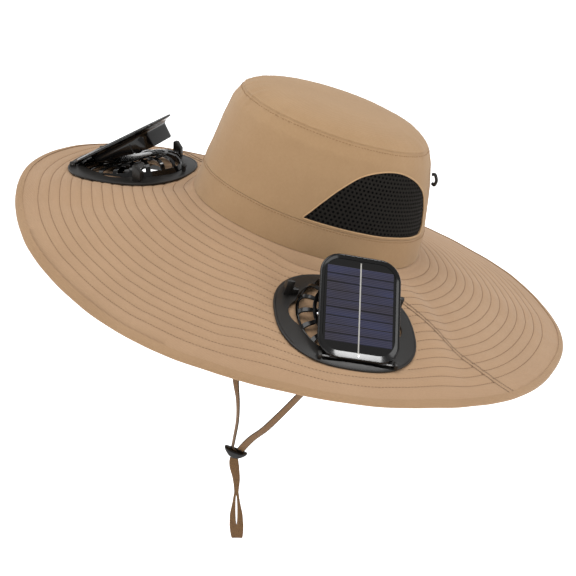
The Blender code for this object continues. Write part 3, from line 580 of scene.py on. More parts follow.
# %% [markdown]
# ## The crown
# The crown is three cuts of cloth: a band, a side and a tip. Real cloth is never a perfect cone, so
# a slow noise pushes it in and out by less than a millimetre, and short puckers gather along the
# seam of the tip where the curved edge was eased into the side.

# %% Crown cloth
CROWN_COLUMNS = 180
SLOW_WAVE = 0.0009
FOLD_DEPTH = 0.0006
PUCKER_DEPTH = 0.0011
PUSH_IN_MOST = 0.0005
SEAM_PINCH = 0.0006


def crown_cloth_point(bearing, height, inset):
    point = crown_point(bearing, height, inset)
    out = Vector((point.x, point.y, 0)).normalized()
    slow = noise.noise(Vector((point.x * 26, point.y * 26, height * 2.1)))
    fold = noise.noise(Vector((point.x * 60, point.y * 60, height * 1.3 + 7)))
    pucker = noise.noise(Vector((bearing * 0.55, height * 3, 3.0)))
    pucker += 0.6 * noise.noise(Vector((bearing * 0.23, height * 5, 9.0)))
    near_tip = math.exp(-(((1 - height) / 0.09) ** 2))
    near_band = math.exp(-(((height - 0.262) / 0.05) ** 2))
    push = SLOW_WAVE * slow + FOLD_DEPTH * fold + PUCKER_DEPTH * pucker * (near_tip + 0.3 * near_band)
    push = max(push, -PUSH_IN_MOST) - SEAM_PINCH * math.exp(-(((1 - height) / 0.014) ** 2))
    return point + out * push


def crown_shell(name, heights, wall=CROWN_WALL):
    bearings = steps(0, 360, CROWN_COLUMNS)[:-1]
    outside = [[crown_cloth_point(turn, height, 0.0) for turn in bearings] for height in heights]
    inside = [[crown_cloth_point(turn, height, wall) for turn in bearings] for height in reversed(heights)]
    return as_object(name, skin(outside + inside, True, True))


def vent_curve(turn, column):
    """A smooth curve through the rows of VENT_OUTLINE, whose steps are uneven."""
    rows = VENT_OUTLINE
    last = len(rows) - 1
    place = max(number for number in range(last) if turn >= rows[number][0] or number == 0)
    (start, end), span = (rows[place], rows[place + 1]), rows[place + 1][0] - rows[place][0]
    share = min(max((turn - start[0]) / span, 0.0), 1.0)
    slopes = []
    for number in (place, place + 1):
        before, after = rows[max(number - 1, 0)], rows[min(number + 1, last)]
        slopes.append((after[column] - before[column]) / (after[0] - before[0]) * span)
    rise = end[column] - start[column]
    eased = (3 * share**2 - 2 * share**3) * rise
    leaving, arriving = share - 2 * share**2 + share**3, share**3 - share**2
    return start[column] + eased + leaving * slopes[0] + arriving * slopes[1]


def vent_edges(turn, grow=0.0):
    return vent_curve(turn, 1) - grow / CROWN_HEIGHT, vent_curve(turn, 2) + grow / CROWN_HEIGHT


def vent_slab(side, out, into, grow=0.0, count=48):
    first, last = VENT_OUTLINE[0][0], VENT_OUTLINE[-1][0]
    sections = []
    for turn in steps(first, last, count):
        low, high = vent_edges(turn, grow)
        high = max(high, low + 0.008)
        sections.append([
            crown_point(side * turn, low, -out), crown_point(side * turn, (low + high) / 2, -out),
            crown_point(side * turn, high, -out), crown_point(side * turn, high, into),
            crown_point(side * turn, (low + high) / 2, into), crown_point(side * turn, low, into),
        ])
    return skin(sections, True, False)


def build_crown():
    top = BAND_HEIGHT / CROWN_HEIGHT
    band = crown_shell("crown_band_cloth", steps(GAP / CROWN_HEIGHT, top, 8))
    piece(band, CROWN_CLOTH, "crown_cloth", ROOT, "crown_band")
    heights = steps(top + 0.004, 0.93, 24) + steps(0.94, 0.99, 5) + [0.995, 1.0, 1.0022]
    side_cloth = crown_shell("crown_side_cloth", heights)
    for side in SIDES.values():
        boolean(side_cloth, as_object("vent_cutter", vent_slab(side, 0.004, 0.006)))
    piece(side_cloth, CROWN_CLOTH, "crown_cloth", ROOT, "crown_side")


def tip_ring(reach, rise, inset):
    ring = []
    for turn in steps(0, 360, CROWN_COLUMNS)[:-1]:
        edge = crown_cloth_point(turn, 1.0, inset)
        middle = Vector((0, -TIP_LEAN, edge.z + GAP))
        point = middle + Vector((edge.x, edge.y + TIP_LEAN, 0)) * reach
        pucker = noise.noise(Vector((turn * 0.6, reach * 4, 11.0))) * math.exp(-(((1 - reach) / 0.12) ** 2))
        slow = noise.noise(Vector((point.x * 22, point.y * 22, 5.0)))
        point.z += TIP_RISE * rise + 0.0009 * pucker * (1 - reach**30) + 0.0009 * slow * (1 - reach**4)
        ring.append(point)
    return ring


def build_tip():
    reaches = [1.0, 0.995, 0.985, 0.97, 0.95, 0.92, 0.88, 0.83, 0.76, 0.68, 0.58, 0.46, 0.34, 0.22, 0.10]

    def smooth_rise(reach):
        if reach > 0.999:
            return 0.0
        before, after = read(TIP_DOME, max(reach - 0.03, 0)), read(TIP_DOME, min(reach + 0.03, 1))
        return (before + read(TIP_DOME, reach) + after) / 3

    def inner_rise(reach):
        return smooth_rise(reach) - (0.14 if reach < 0.999 else 0.0)

    outside = [tip_ring(reach, smooth_rise(reach), 0.0) for reach in reversed(reaches)]
    inside = [tip_ring(reach, inner_rise(reach), CROWN_WALL) for reach in reaches]
    tip = as_object("crown_tip_cloth", skin(outside + inside, True, False))
    piece(tip, CROWN_CLOTH, "crown_cloth", ROOT, "crown_tip")


build_crown()
build_tip()

# %% [markdown]
# ## The brim
# The brim is two layers of poplin over a stiffener, quilted with rings of stitching about 9 mm
# apart. Each ring pulls a shallow groove, so the sheet gets rows of points beside every ring. A
# lapped seam on each side joins the long front cut to the rear cut, and the rings of the two do
# not meet there.

# %% Brim cloth
RING_FIRST = 0.050
RING_STEP = 0.0615
RINGS = 15
GROOVE_DEPTH = 0.00060
GROOVE_HALF = 0.0010
REAR_SHIFT = -0.42      # the rear cut's rings lie this share of a step nearer the crown
SEAM_TRIM = 0.015       # degrees left open at each side of a lapped seam
FRONT_COLUMNS = 260
REAR_COLUMNS = 210


def ring_shares(shift):
    return [RING_FIRST + RING_STEP * (number + shift) for number in range(RINGS)]


def brim_rows(shift):
    rows = {0.0, 0.012, 1.0}
    step = 0.0011 / (BRIM_WIDTH * 0.93)
    for share in ring_shares(shift):
        rows |= {share + step * place for place in (-1.6, -0.7, 0.0, 0.7, 1.6)}
        rows.add(share + RING_STEP / 2)
    return sorted(row for row in rows if 0 <= row <= 1.0)


def groove(share, bearing, shift):
    """How far the cloth is pulled in by its rings of stitching, and less beside the lapped seam."""
    width = BRIM_WIDTH * brim_outline(bearing, 1)
    nearest = min(abs(share - line) for line in ring_shares(shift)) * width
    from_seam = abs(abs((bearing + 180) % 360 - 180) - seam_bearing(share))
    return GROOVE_DEPTH * math.exp(-((nearest / GROOVE_HALF) ** 2)) * smoothstep(from_seam / 0.7)


def brim_wave(point):
    return 0.0005 * noise.noise(point * 45) + 0.0006 * noise.noise(point * 17)


def brim_section(bearing_at, shift):
    rows = brim_rows(shift)
    top, under = [], []
    for share in rows:
        bearing = bearing_at(share)
        # The last row runs on into the fold of the binding
        inner = BINDING_WIDTH + (GAP if share < 1 else -0.0010)
        trimmed = share * (1 - inner / (BRIM_WIDTH * brim_outline(bearing, 1)))
        point = brim_point(bearing, trimmed)
        sunk = groove(share, bearing, shift)
        calm = smoothstep(share / 0.05)
        wave = brim_wave(point) * calm
        top.append(point + Vector((0, 0, wave - sunk * calm)))
        under.append(point + Vector((0, 0, wave - BRIM_WALL + 0.6 * sunk * calm)))
    lip = crown_point(bearing_at(0.0), 0.0, CROWN_WALL)
    return [lip, *top, *reversed(under), lip - Vector((0, 0, BRIM_WALL))]


def brim_piece(name, sections):
    mesh = bmesh.new()
    rows = [[mesh.verts.new(point) for point in section] for section in sections]
    count = len(rows[0])
    for row, after in zip(rows, rows[1:]):
        for number in range(count):
            nearby = (number + 1) % count
            mesh.faces.new((row[number], row[nearby], after[nearby], after[number]))
    for row in (rows[0], rows[-1]):
        for number in range(count // 2 - 1):
            mesh.faces.new((row[number], row[number + 1], row[-number - 2], row[-number - 1]))
    bmesh.ops.recalc_face_normals(mesh, faces=mesh.faces)
    return as_object(name, mesh)


def oval(half_x, half_y, count, power=2.0):
    outline = []
    for step in range(count):
        turn = 2 * math.pi * step / count
        x, y = math.cos(turn), math.sin(turn)
        outline.append((
            half_x * math.copysign(abs(x) ** (2 / power), x),
            half_y * math.copysign(abs(y) ** (2 / power), y),
        ))
    return outline


def build_brim():
    front = [
        brim_section(lambda share, turn=turn: turn * (seam_bearing(share) - SEAM_TRIM), 0.0)
        for turn in steps(-1, 1, FRONT_COLUMNS)
    ]
    cloth = brim_piece("brim_front_cloth", front)
    for seat in SEATS.values():
        hole = oval(CLOTH_HOLE_HALF_WIDTH, CLOTH_HOLE_HALF_LENGTH, 96)
        cutter = as_object("hole_cutter", skin([[(x, y, z) for x, y in hole] for z in (-0.02, 0.02)]))
        boolean(cloth, seated(cutter, seat))
    piece(cloth, BRIM_CLOTH, "brim_cloth", ROOT, "brim_front", angle=60)
    rear = [
        brim_section(
            lambda share, turn=turn: 180 + turn * (180 - seam_bearing(share) - SEAM_TRIM), REAR_SHIFT
        )
        for turn in steps(-1, 1, REAR_COLUMNS)
    ]
    piece(brim_piece("brim_rear_cloth", rear), BRIM_CLOTH, "brim_cloth", ROOT, "brim_rear", angle=60)


build_brim()

# %% [markdown]
# ### The bound edge
# A strip of bias tape is folded round the rim, so the edge is a soft roll, a little thicker than
# the brim. Its section is swept round the outline.


# %% Binding
def build_binding():
    proud = (BINDING_HEIGHT - BRIM_WALL) / 2
    half = BINDING_HEIGHT / 2
    sections = []
    for turn in steps(0, 360, 420)[:-1]:
        width = BRIM_WIDTH * brim_outline(turn, 1)
        section = [(BINDING_WIDTH, -proud), (BINDING_WIDTH * 0.75, -proud)]
        for angle in steps(90, -90, 8):
            across = 0.0017 * (1 - math.cos(math.radians(angle)))
            section.append((across, BRIM_WALL / 2 - half * math.sin(math.radians(angle))))
        section += [(BINDING_WIDTH * 0.75, BRIM_WALL + proud), (BINDING_WIDTH, BRIM_WALL + proud)]
        ring = []
        for back_in, depth in section:
            point = brim_point(turn, 1 - back_in / width, depth)
            point.z += brim_wave(point)
            ring.append(point)
        sections.append(ring)
    tape = as_object("brim_binding_tape", skin(sections, True, True))
    piece(tape, BINDING_CLOTH, "binding_tape", ROOT, "brim_binding", angle=60)


build_binding()

# %% [markdown]
# ## Stitching
# A lockstitch shows as a row of short threads, each dipping into the cloth at both ends. A small
# ribbon with sunken ends is laid along every ring again and again, and one mesh holds them all.

# %% Stitches
STITCH_PITCH = 0.0026
STITCH_LENGTH = 0.00185
STITCH_WIDTH = 0.00058
STITCH_PROFILE = [(-0.5, -0.0003), (-0.28, 0.00012), (0.28, 0.00012), (0.5, -0.0003)]


def stitch_rows(name, routes, lift=0.00012, width=STITCH_WIDTH, pitch=STITCH_PITCH, thread=THREAD):
    """Threads along routes. A route is a list of (point, normal) pairs, close together."""
    mesh = bmesh.new()
    for route in routes:
        carried = 0.0
        for (start, normal), (end, _) in zip(route, route[1:]):
            span = (end - start).length
            if span < 1e-6:
                continue
            along = (end - start) / span
            across = normal.cross(along).normalized()
            place = pitch - carried
            while place <= span:
                middle = start + along * place + normal * lift
                corners = []
                for way, rise in STITCH_PROFILE:
                    for half in (-0.5, 0.5):
                        corner = middle + along * way * STITCH_LENGTH + across * half * width + normal * rise
                        corners.append(mesh.verts.new(corner))
                for number in range(0, 6, 2):
                    mesh.faces.new([corners[number + step] for step in (0, 1, 3, 2)])
                place += pitch
            carried = (carried + span) % pitch
    bmesh.ops.recalc_face_normals(mesh, faces=mesh.faces)
    return piece(as_object(name, mesh), thread, "brim_cloth", ROOT, angle=80)


def covered(point, grow):
    """Whether a point of the brim lies under a module's flange or cup."""
    for back in SEATS_BACK.values():
        local = back @ point
        size = abs(local.x) ** FLANGE_POWER + abs(local.y) ** FLANGE_POWER
        if size < (FLANGE_HALF + grow) ** FLANGE_POWER and abs(local.z) < 0.03:
            return True
    return False


def brim_routes(shift, bearing_at, count, depth, sign, cut):
    routes = []
    for share in ring_shares(shift):
        if not 0.02 < share < 0.985:
            continue
        route = []
        for turn in steps(-1, 1, count):
            bearing = bearing_at(share, turn)
            inner = BINDING_WIDTH + GAP
            trimmed = share * (1 - inner / (BRIM_WIDTH * brim_outline(bearing, 1)))
            point = brim_point(bearing, trimmed, depth)
            sunk = sign * GROOVE_DEPTH * (1.0 if sign > 0 else 0.6)
            point.z += brim_wave(brim_point(bearing, trimmed)) - sunk
            if covered(point, cut):
                if len(route) > 1:
                    routes.append(route)
                route = []
            else:
                route.append((point, Vector((0, 0, sign))))
        if len(route) > 1:
            routes.append(route)
    return routes


def front_bearing(share, turn):
    return turn * (seam_bearing(share) - 0.3)


def rear_bearing(share, turn):
    return 180 + turn * (180 - seam_bearing(share) - 0.3)


def build_brim_stitches():
    for name, depth, sign, cut in (
        ("brim_stitches_top", 0.0, 1, 0.0), ("brim_stitches_under", BRIM_WALL, -1, -0.002),
    ):
        routes = brim_routes(0.0, front_bearing, 420, depth, sign, cut)
        routes += brim_routes(REAR_SHIFT, rear_bearing, 340, depth, sign, cut)
        seams = []
        for side in SIDES.values():
            # Both rows have stitches almost end to end. The row at 0.0 lies over the gap between the cuts and
            # paints the seam's shadow line, and the row at 1.5 is stitching.
            for offset in (0.0, 1.5):
                route = []
                for share in steps(0.0, 0.967, 80):
                    point = brim_point(side * (seam_bearing(share) + offset), share, depth)
                    route.append((point + Vector((0, 0, brim_wave(point))), Vector((0, 0, sign))))
                seams.append(route)
        print(name, "rows:", len(routes))
        stitch_rows(name, routes)
        seam_name = name.replace("brim", "lap_seam_shadow_and")
        stitch_rows(seam_name, seams, lift=0.0002, width=0.0007, pitch=0.0019, thread=SEAM_THREAD_AND_SHADOW)


def build_crown_stitches():
    routes = []
    for height in (0.245, 0.982):
        route = []
        for turn in steps(0, 360, 300):
            point = crown_cloth_point(turn, height, 0.0)
            route.append((point, Vector((point.x, point.y + TIP_LEAN, 0.02)).normalized()))
        routes.append(route)
    stitch_rows("crown_stitches", routes, lift=0.0002, thread=CROWN_THREAD)


build_brim_stitches()
build_crown_stitches()

# %% [markdown]
# ## The vents
# Air mesh is a knit with a honeycomb of holes over a plain backing, whose near-black colour also paints
# the shade seen through the holes. The honeycomb is laid out flat and wrapped onto the crown. Each cell
# is a ring of quads round a hole with a short wall, and cells that reach past the outline are tucked
# behind the edge of the cloth.

# %% Air mesh
CELL_WIDTH = 0.0038
CELL_HEIGHT = 0.0030
CELL_HOLE = 0.56
MESH_TOP = 0.0009
MESH_BOTTOM = 0.0014
HEXAGON = [(0, 2 / 3), (0.5, 1 / 3), (0.5, -1 / 3), (0, -2 / 3), (-0.5, -1 / 3), (-0.5, 1 / 3)]
# Size of a cell's ring and how deep it lies under the crown's face
CELL_RINGS = [
    (1.0, MESH_TOP + 0.0001), (0.8, MESH_TOP - 0.0002),
    (CELL_HOLE, MESH_TOP), (CELL_HOLE * 0.95, MESH_BOTTOM),
]


def build_vent(word, side):
    mesh = bmesh.new()
    radius = HEAD_WIDTH / 2
    first, last = VENT_OUTLINE[0][0] - 1, VENT_OUTLINE[-1][0] + 1

    def place(across, up, inset):
        return crown_point(side * math.degrees(across / radius), up / CROWN_HEIGHT, inset)

    for row in range(8, 27):
        up = row * CELL_HEIGHT
        for column in range(80):
            across = math.radians(first) * radius + (column + 0.5 * (row % 2)) * CELL_WIDTH
            turn = math.degrees(across / radius)
            if turn > last:
                break
            low, high = vent_edges(min(max(turn, VENT_OUTLINE[0][0]), VENT_OUTLINE[-1][0]), 0.0008)
            if not low <= up / CROWN_HEIGHT <= high:
                continue
            rings = []
            for scale, inset in CELL_RINGS:
                corners = [
                    place(across + x * CELL_WIDTH * scale, up + z * CELL_HEIGHT * scale, inset)
                    for x, z in HEXAGON
                ]
                rings.append([mesh.verts.new(corner) for corner in corners])
            for ring, after in zip(rings, rings[1:]):
                for number in range(6):
                    nearby = (number + 1) % 6
                    mesh.faces.new((ring[number], ring[nearby], after[nearby], after[number]))
    bmesh.ops.remove_doubles(mesh, verts=mesh.verts, dist=0.00002)
    bmesh.ops.recalc_face_normals(mesh, faces=mesh.faces)
    honeycomb = as_object(f"vent_honeycomb_{word}", mesh)
    if sum(face.normal.x for face in honeycomb.data.polygons) * side < 0:
        honeycomb.data.flip_normals()
    piece(honeycomb, MESH_YARN, "air_mesh", ROOT, angle=70)
    # The backing's near-black colour paints the shade seen through the mesh's holes.
    backing = as_object(f"vent_backing_and_hole_shade_{word}", vent_slab(side, -MESH_BOTTOM, 0.0019, 0.0008))
    piece(backing, MESH_BACK_AND_HOLE_SHADE, "air_mesh", ROOT, f"vent_mesh_{word}")
    outline = []
    for turn in steps(VENT_OUTLINE[0][0] + 0.3, VENT_OUTLINE[-1][0], 60):
        outline.append((turn, vent_edges(turn)[1]))
    for turn in steps(VENT_OUTLINE[-1][0], VENT_OUTLINE[0][0] + 0.3, 60):
        outline.append((turn, vent_edges(turn)[0]))
    sections = []
    for number, (turn, height) in enumerate(outline):
        point = crown_cloth_point(side * turn, height, 0.0001)
        before, after = outline[number - 1], outline[(number + 1) % len(outline)]
        along = crown_point(side * after[0], after[1]) - crown_point(side * before[0], before[1])
        along.normalize()
        out = Vector((point.x, point.y + TIP_LEAN * height, 0)).normalized()
        across = along.cross(out).normalized()
        sections.append([
            point + across * 0.0006 * math.cos(angle) + out * 0.0005 * math.sin(angle)
            for angle in (math.radians(45 * step) for step in range(8))
        ])
    piping = as_object(f"vent_piping_{word}", skin(sections, True, True))
    piece(piping, PIPING_CLOTH, "crown_cloth", ROOT, angle=80)


for side_word, side_sign in SIDES.items():
    build_vent(side_word, side_sign)

# %% [markdown]
# ## Fan modules
# Each module is a moulded flange that clamps the cloth, a domed grille that tilts up towards the
# crown, and a fan in a cup under it. The rings of the flange are swept as ovals. The grille is an
# open sheet of ribs and rings, given its wall with Solidify and its soft edges with Bevel.

# %% Module sizes
CAGE_HALF_WIDTH = 0.0372
CAGE_HALF_LENGTH = 0.0422
CAGE_TOP_WIDTH = 0.0345
CAGE_TOP_LENGTH = 0.0385
CAGE_WALL = 0.0014
CAGE_FOOT = 0.0016
CAGE_LOW = 0.0034
CAGE_TILT_RISE = 0.0110
CAGE_DOME = 0.0026
WINDOWS = 18
RIB_DEGREES = 6.0
SLOT_BULGE = 0.0055
SLOT_HALF_LENGTH = 0.017
EAR_MIDDLE = 0.0415
EAR_WIDTH = 0.0056
EAR_START = 0.0190
EAR_END = 0.0260
EAR_TIP = 0.0030
EAR_FOOT = 0.0015
EAR_SHOULDER = 0.0095
EAR_TOP = 0.0150
CATCH_START = 0.0442
# Height of a row of the catch, half its width, and its depth
CATCH_ROWS = [
    (0.0010, 0.0024, 0.0022), (0.0052, 0.0020, 0.0022), (0.0066, 0.0032, 0.0032), (0.0088, 0.0032, 0.0012),
]
ARM_START = 0.0200
ARM_END = 0.0248
ARM_LOW = 0.0020
ARM_TOP = 0.0076
NOTCH_HALF = 0.0260
NOTCH_REACH = 0.0028
NOTCH_FLOOR = 0.0008
BACKPLATE_HALF = 0.0505
CLAMP_GAP = 0.0007
CUP_HALF = 0.0465
CUP_DEPTH = 0.0138
CUP_WALL = 0.002
SHAFT_RADIUS = 0.0012
MOTOR_TOP = -0.0101
MOTOR_RADIUS = 0.0085
ROTOR_RADIUS = 0.031
ROTOR_HUB_RADIUS = 0.0095
ROTOR_HUB_HEIGHT = 0.0060
BLADES = 5
PIN_RADIUS = 0.0008
KNUCKLE_RADIUS = 0.0016
LUG_START = 0.0264
LUG_END = 0.0295
LID_WIDTH = 0.0605
LID_LENGTH = 0.0785
LID_CORNER = 0.0155
LID_RIM = 0.0034
LID_EDGE = 0.0018
LID_ANGLE = 30.0
LID_OUT = 0.0445
LID_HEIGHT = 0.0042
LID_SHIFT = 0.0025
BOX_WIDTH = 0.052
BOX_START = 0.0150
BOX_END = 0.0705
BOX_CORNER = 0.0100
BOX_DEPTH_HINGE = 0.0088
BOX_DEPTH_TIP = 0.0175
NECK_DEPTH = 0.0070
PANEL_WALL = 0.0012
PANEL_TOP = 0.0011
RIB_AT = 0.0556
PIN_INSET = 0.0012
PIN_DROP = 0.0018
LID_TURN = Matrix.Rotation(math.radians(LID_ANGLE), 4, "X")
LID_PLACE = Matrix.Translation((LID_SHIFT, -LID_OUT, LID_HEIGHT)) @ LID_TURN
HINGE = LID_PLACE @ Vector((0, PIN_INSET, -PIN_DROP))


# %% Flange
def build_flange(word, seat):
    outline = oval(FLANGE_HALF, FLANGE_REACH, 128, FLANGE_POWER)
    hole = oval(CAGE_HALF_WIDTH + GAP, CAGE_HALF_LENGTH + GAP, 128)

    def between(share, z):
        return [(x + (a - x) * share, y + (b - y) * share, z) for (x, y), (a, b) in zip(outline, hole)]

    rings = [
        between(share, z) for share, z in (
            (1.0, GAP), (0.04, GAP), (0.0, 0.0007), (0.0, 0.0012), (0.02, 0.0017), (0.07, 0.0019),
            (0.12, 0.0016), (0.18, 0.0018), (0.5, 0.0024), (0.86, 0.0030), (0.97, 0.0029), (1.0, 0.0025),
        )
    ]
    flange = as_object(f"flange_{word}", skin(rings, True, True))
    for way in (1, -1):
        slot = oval(SLOT_HALF_LENGTH, SLOT_HALF_LENGTH, 64)
        inner = CAGE_HALF_WIDTH + SLOT_BULGE - SLOT_HALF_LENGTH
        rings = [[(way * inner + x, y, z) for x, y in slot] for z in (-0.004, 0.008)]
        boolean(flange, as_object("slot_cutter", skin(rings)))
    notch_low = (LID_SHIFT - NOTCH_HALF, HINGE.y - NOTCH_REACH, NOTCH_FLOOR)
    notch_high = (LID_SHIFT + NOTCH_HALF, HINGE.y + NOTCH_REACH, 0.006)
    boolean(flange, block(notch_low, notch_high, 0.0004))
    parts = [flange]
    for way in (1, -1):
        low, high = way * EAR_MIDDLE - EAR_WIDTH / 2, way * EAR_MIDDLE + EAR_WIDTH / 2
        ear = [
            [(x, y, z) for x, y in ((low, EAR_START), (high, EAR_START), (high, end), (low, end))]
            for z, end in ((EAR_FOOT, EAR_END), (EAR_SHOULDER, EAR_END), (EAR_TOP, EAR_START + EAR_TIP))
        ]
        ear = bevelled(as_object("ear", skin(ear)), 0.0006)
        arm_start = CAGE_HALF_WIDTH * math.sqrt(1 - (ARM_START / CAGE_HALF_LENGTH) ** 2) + 0.0010
        low, high = sorted((way * arm_start, way * EAR_MIDDLE))
        arm = block((low, ARM_START, ARM_LOW), (high, ARM_END, ARM_TOP), 0.0006)
        screw_at = Vector((way * (EAR_MIDDLE - 0.0042), (ARM_START + ARM_END) / 2, ARM_TOP))
        screw = rod(screw_at - Vector((0, 0, 0.001)), screw_at + Vector((0, 0, 0.0005)), 0.0015, 20, 0.0003)
        low, high = sorted((LID_SHIFT + way * LUG_START, LID_SHIFT + way * LUG_END))
        lug = block((low, HINGE.y - 0.0026, 0.0012), (high, HINGE.y + 0.0026, HINGE.z + 0.0024), 0.0008)
        parts += [ear, arm, screw, lug]
    catch = []
    for z, half, deep in CATCH_ROWS:
        end = CATCH_START + deep
        catch.append([(-half, CATCH_START, z), (half, CATCH_START, z), (half, end, z), (-half, end, z)])
    parts.append(bevelled(as_object("catch", skin(catch)), 0.0005))
    flange = joined(f"flange_{word}", *parts)
    piece(seated(flange, seat), SATIN_ABS, "dark_plastic", ROOT, f"fan_flange_{word}", angle=32)


# %% Grille
def cage_rim(y):
    share = (y + CAGE_TOP_LENGTH) / (2 * CAGE_TOP_LENGTH)
    return CAGE_LOW + CAGE_TILT_RISE * smoothstep(share) ** 1.4


# Reach and height of the grille's rings, as shares of its rim, and between which of them it is open
CAGE_RINGS = [
    (1.055, 0.48), (1.020, 0.72), (0.95, 0.89), (0.86, 0.96), (0.76, 1.0),
    (0.68, 1.0), (0.55, 1.0), (0.42, 1.0), (0.27, 1.0), (0.12, 1.0),
]
WINDOW_LEVELS = {1, 2, 3, 4, 6, 7}


def build_cage(word, seat):
    pitch = 2 * math.pi / WINDOWS
    rib = math.radians(RIB_DEGREES)
    turns = []
    for number in range(WINDOWS):
        start = number * pitch
        turns += [start - rib / 2, start, start + rib / 2]
        turns += [start + rib / 2 + (pitch - rib) * share for share in (0.25, 0.5, 0.75)]
    per_window = 6

    def ring(reach, height):
        points = []
        for turn in turns:
            x, y = CAGE_TOP_WIDTH * reach * math.cos(turn), CAGE_TOP_LENGTH * reach * math.sin(turn)
            tilt = (cage_rim(y) - CAGE_LOW + CAGE_DOME) / (CAGE_TILT_RISE + CAGE_DOME)
            dome = CAGE_DOME * max(1 - reach**2, 0) * tilt
            points.append(Vector((x, y, GAP + (cage_rim(y) - GAP) * height + dome)))
        return points

    foot = [Vector((CAGE_HALF_WIDTH * math.cos(t), CAGE_HALF_LENGTH * math.sin(t), CAGE_FOOT)) for t in turns]
    rings = [foot] + [ring(reach, height) for reach, height in CAGE_RINGS]
    mesh = bmesh.new()
    rows = [[mesh.verts.new(point) for point in points] for points in rings]
    for level, (row, after) in enumerate(zip(rows, rows[1:])):
        for number in range(len(turns)):
            if level in WINDOW_LEVELS and number % per_window >= 2:
                continue
            nearby = (number + 1) % len(turns)
            mesh.faces.new((row[number], row[nearby], after[nearby], after[number]))
    mesh.faces.new(rows[-1])
    bmesh.ops.recalc_face_normals(mesh, faces=mesh.faces)
    cage = as_object(f"grille_{word}", mesh)
    wall = cage.modifiers.new("wall", "SOLIDIFY")
    wall.thickness = CAGE_WALL
    wall.offset = -1
    apply_modifiers(cage)
    bevelled(cage, 0.0003, 1)
    piece(seated(cage, seat), GLOSS_ABS, "black_plastic", ROOT, f"fan_cage_{word}", angle=40)


# %% Cup and fan
def build_cup(word, seat):
    top = -BRIM_WALL / seat.to_3x3().col[2].z - CLAMP_GAP
    low = top - CUP_WALL
    outer = oval(BACKPLATE_HALF, BACKPLATE_HALF, 96, FLANGE_POWER)
    wall = oval(CUP_HALF, CUP_HALF, 96, FLANGE_POWER)
    inner = oval(CUP_HALF - CUP_WALL, CUP_HALF - CUP_WALL, 96, FLANGE_POWER)
    rings = [
        [(x, y, -CUP_DEPTH) for x, y in inner], [(x, y, -CUP_DEPTH) for x, y in wall],
        [(x, y, low) for x, y in wall], [(x, y, low) for x, y in outer],
        [(x, y, top) for x, y in outer], [(x, y, top) for x, y in inner],
    ]
    parts = [bevelled(as_object(f"cup_{word}", skin(rings, True, True)), 0.0004)]
    for turn in (90, 210, 330):
        low_end = (0.004, -0.0025, 0.0003 - CUP_DEPTH)
        arm = block(low_end, (CUP_HALF - 0.001, 0.0025, CUP_WALL - CUP_DEPTH), 0.0004)
        parts.append(seated(arm, Matrix.Rotation(math.radians(turn), 4, "Z")))
    parts.append(rod((0, 0, -CUP_DEPTH - 0.0008), (0, 0, MOTOR_TOP), MOTOR_RADIUS, 48, 0.0008))
    shaft_top = MOTOR_TOP + GAP + ROTOR_HUB_HEIGHT * 0.8
    parts.append(rod((0, 0, -CUP_DEPTH), (0, 0, shaft_top), SHAFT_RADIUS, 20))
    cup = seated(joined(f"cup_{word}", *parts), seat)
    piece(cup, SATIN_ABS, "black_plastic", ROOT, f"fan_backplate_{word}")


def build_rotor(word, seat):
    foot = MOTOR_TOP + GAP
    top = foot + ROTOR_HUB_HEIGHT
    bore = SHAFT_RADIUS + 0.00008
    profile = [
        (bore, foot), (ROTOR_HUB_RADIUS, foot), (ROTOR_HUB_RADIUS, top - 0.0016),
        (ROTOR_HUB_RADIUS - 0.0012, top), (0.001, top), (0.0009, top - 0.0005), (bore, top - 0.0008),
    ]
    turns = steps(0, 2 * math.pi, 48)[:-1]
    rings = [[(r * math.cos(a), r * math.sin(a), z) for a in turns] for r, z in profile]
    parts = [as_object(f"fan_{word}", skin(rings, True, True))]
    middle = (foot + top) / 2
    for number in range(BLADES):
        sections = []
        for radius in steps(ROTOR_HUB_RADIUS - 0.001, ROTOR_RADIUS, 10):
            share = (radius - ROTOR_HUB_RADIUS) / (ROTOR_RADIUS - ROTOR_HUB_RADIUS)
            pitch = math.radians(38 - 12 * share)
            half = 0.0050 + 0.0016 * share
            section = []
            for place in (-1, -0.5, 0, 0.5, 1, 1, 0.5, 0, -0.5, -1):
                thick = 0.0005 * (1 if len(section) < 5 else -1)
                across, camber = place * half, 0.0008 * (1 - place**2)
                section.append((
                    radius, across * math.cos(pitch) - (camber + thick) * math.sin(pitch),
                    middle + across * math.sin(pitch) + (camber + thick) * math.cos(pitch),
                ))
            sections.append(section)
        blade = as_object("blade", skin(sections))
        parts.append(seated(blade, Matrix.Rotation(2 * math.pi * number / BLADES, 4, "Z")))
    fan = seated(joined(f"fan_{word}", *parts), seat)
    piece(fan, GLOSS_ABS, "black_plastic", f"fan_{word}", f"fan_rotor_{word}")


# %% [markdown]
# ### The solar lid
# The lid is one moulding: a rounded frame round the panel, and a box under it for the battery, which
# flares out to the frame in a cove. The panel is a board with strips of silicon, each with fine
# silver fingers, and one bright busbar across them all. The busbar's strip runs on over the frame's
# bevel at the hinge.


# %% Lid
def rounded(width, start, end, corner, count=10):
    outline = []
    for middle_x, middle_y, first in (
        (width / 2 - corner, end - corner, 0), (corner - width / 2, end - corner, 90),
        (corner - width / 2, start + corner, 180), (width / 2 - corner, start + corner, 270),
    ):
        for step in range(count + 1):
            turn = math.radians(first + 90 * step / count)
            outline.append((middle_x + corner * math.cos(turn), middle_y + corner * math.sin(turn)))
    return outline


def box_depth(y):
    share = (y - BOX_START) / (BOX_END - BOX_START)
    return -(BOX_DEPTH_HINGE + (BOX_DEPTH_TIP - BOX_DEPTH_HINGE) * share)


def lid_ring(inset, z):
    outline = rounded(LID_WIDTH - 2 * inset, inset, LID_LENGTH - inset, LID_CORNER - inset)
    return [(x, y, z) for x, y in outline]


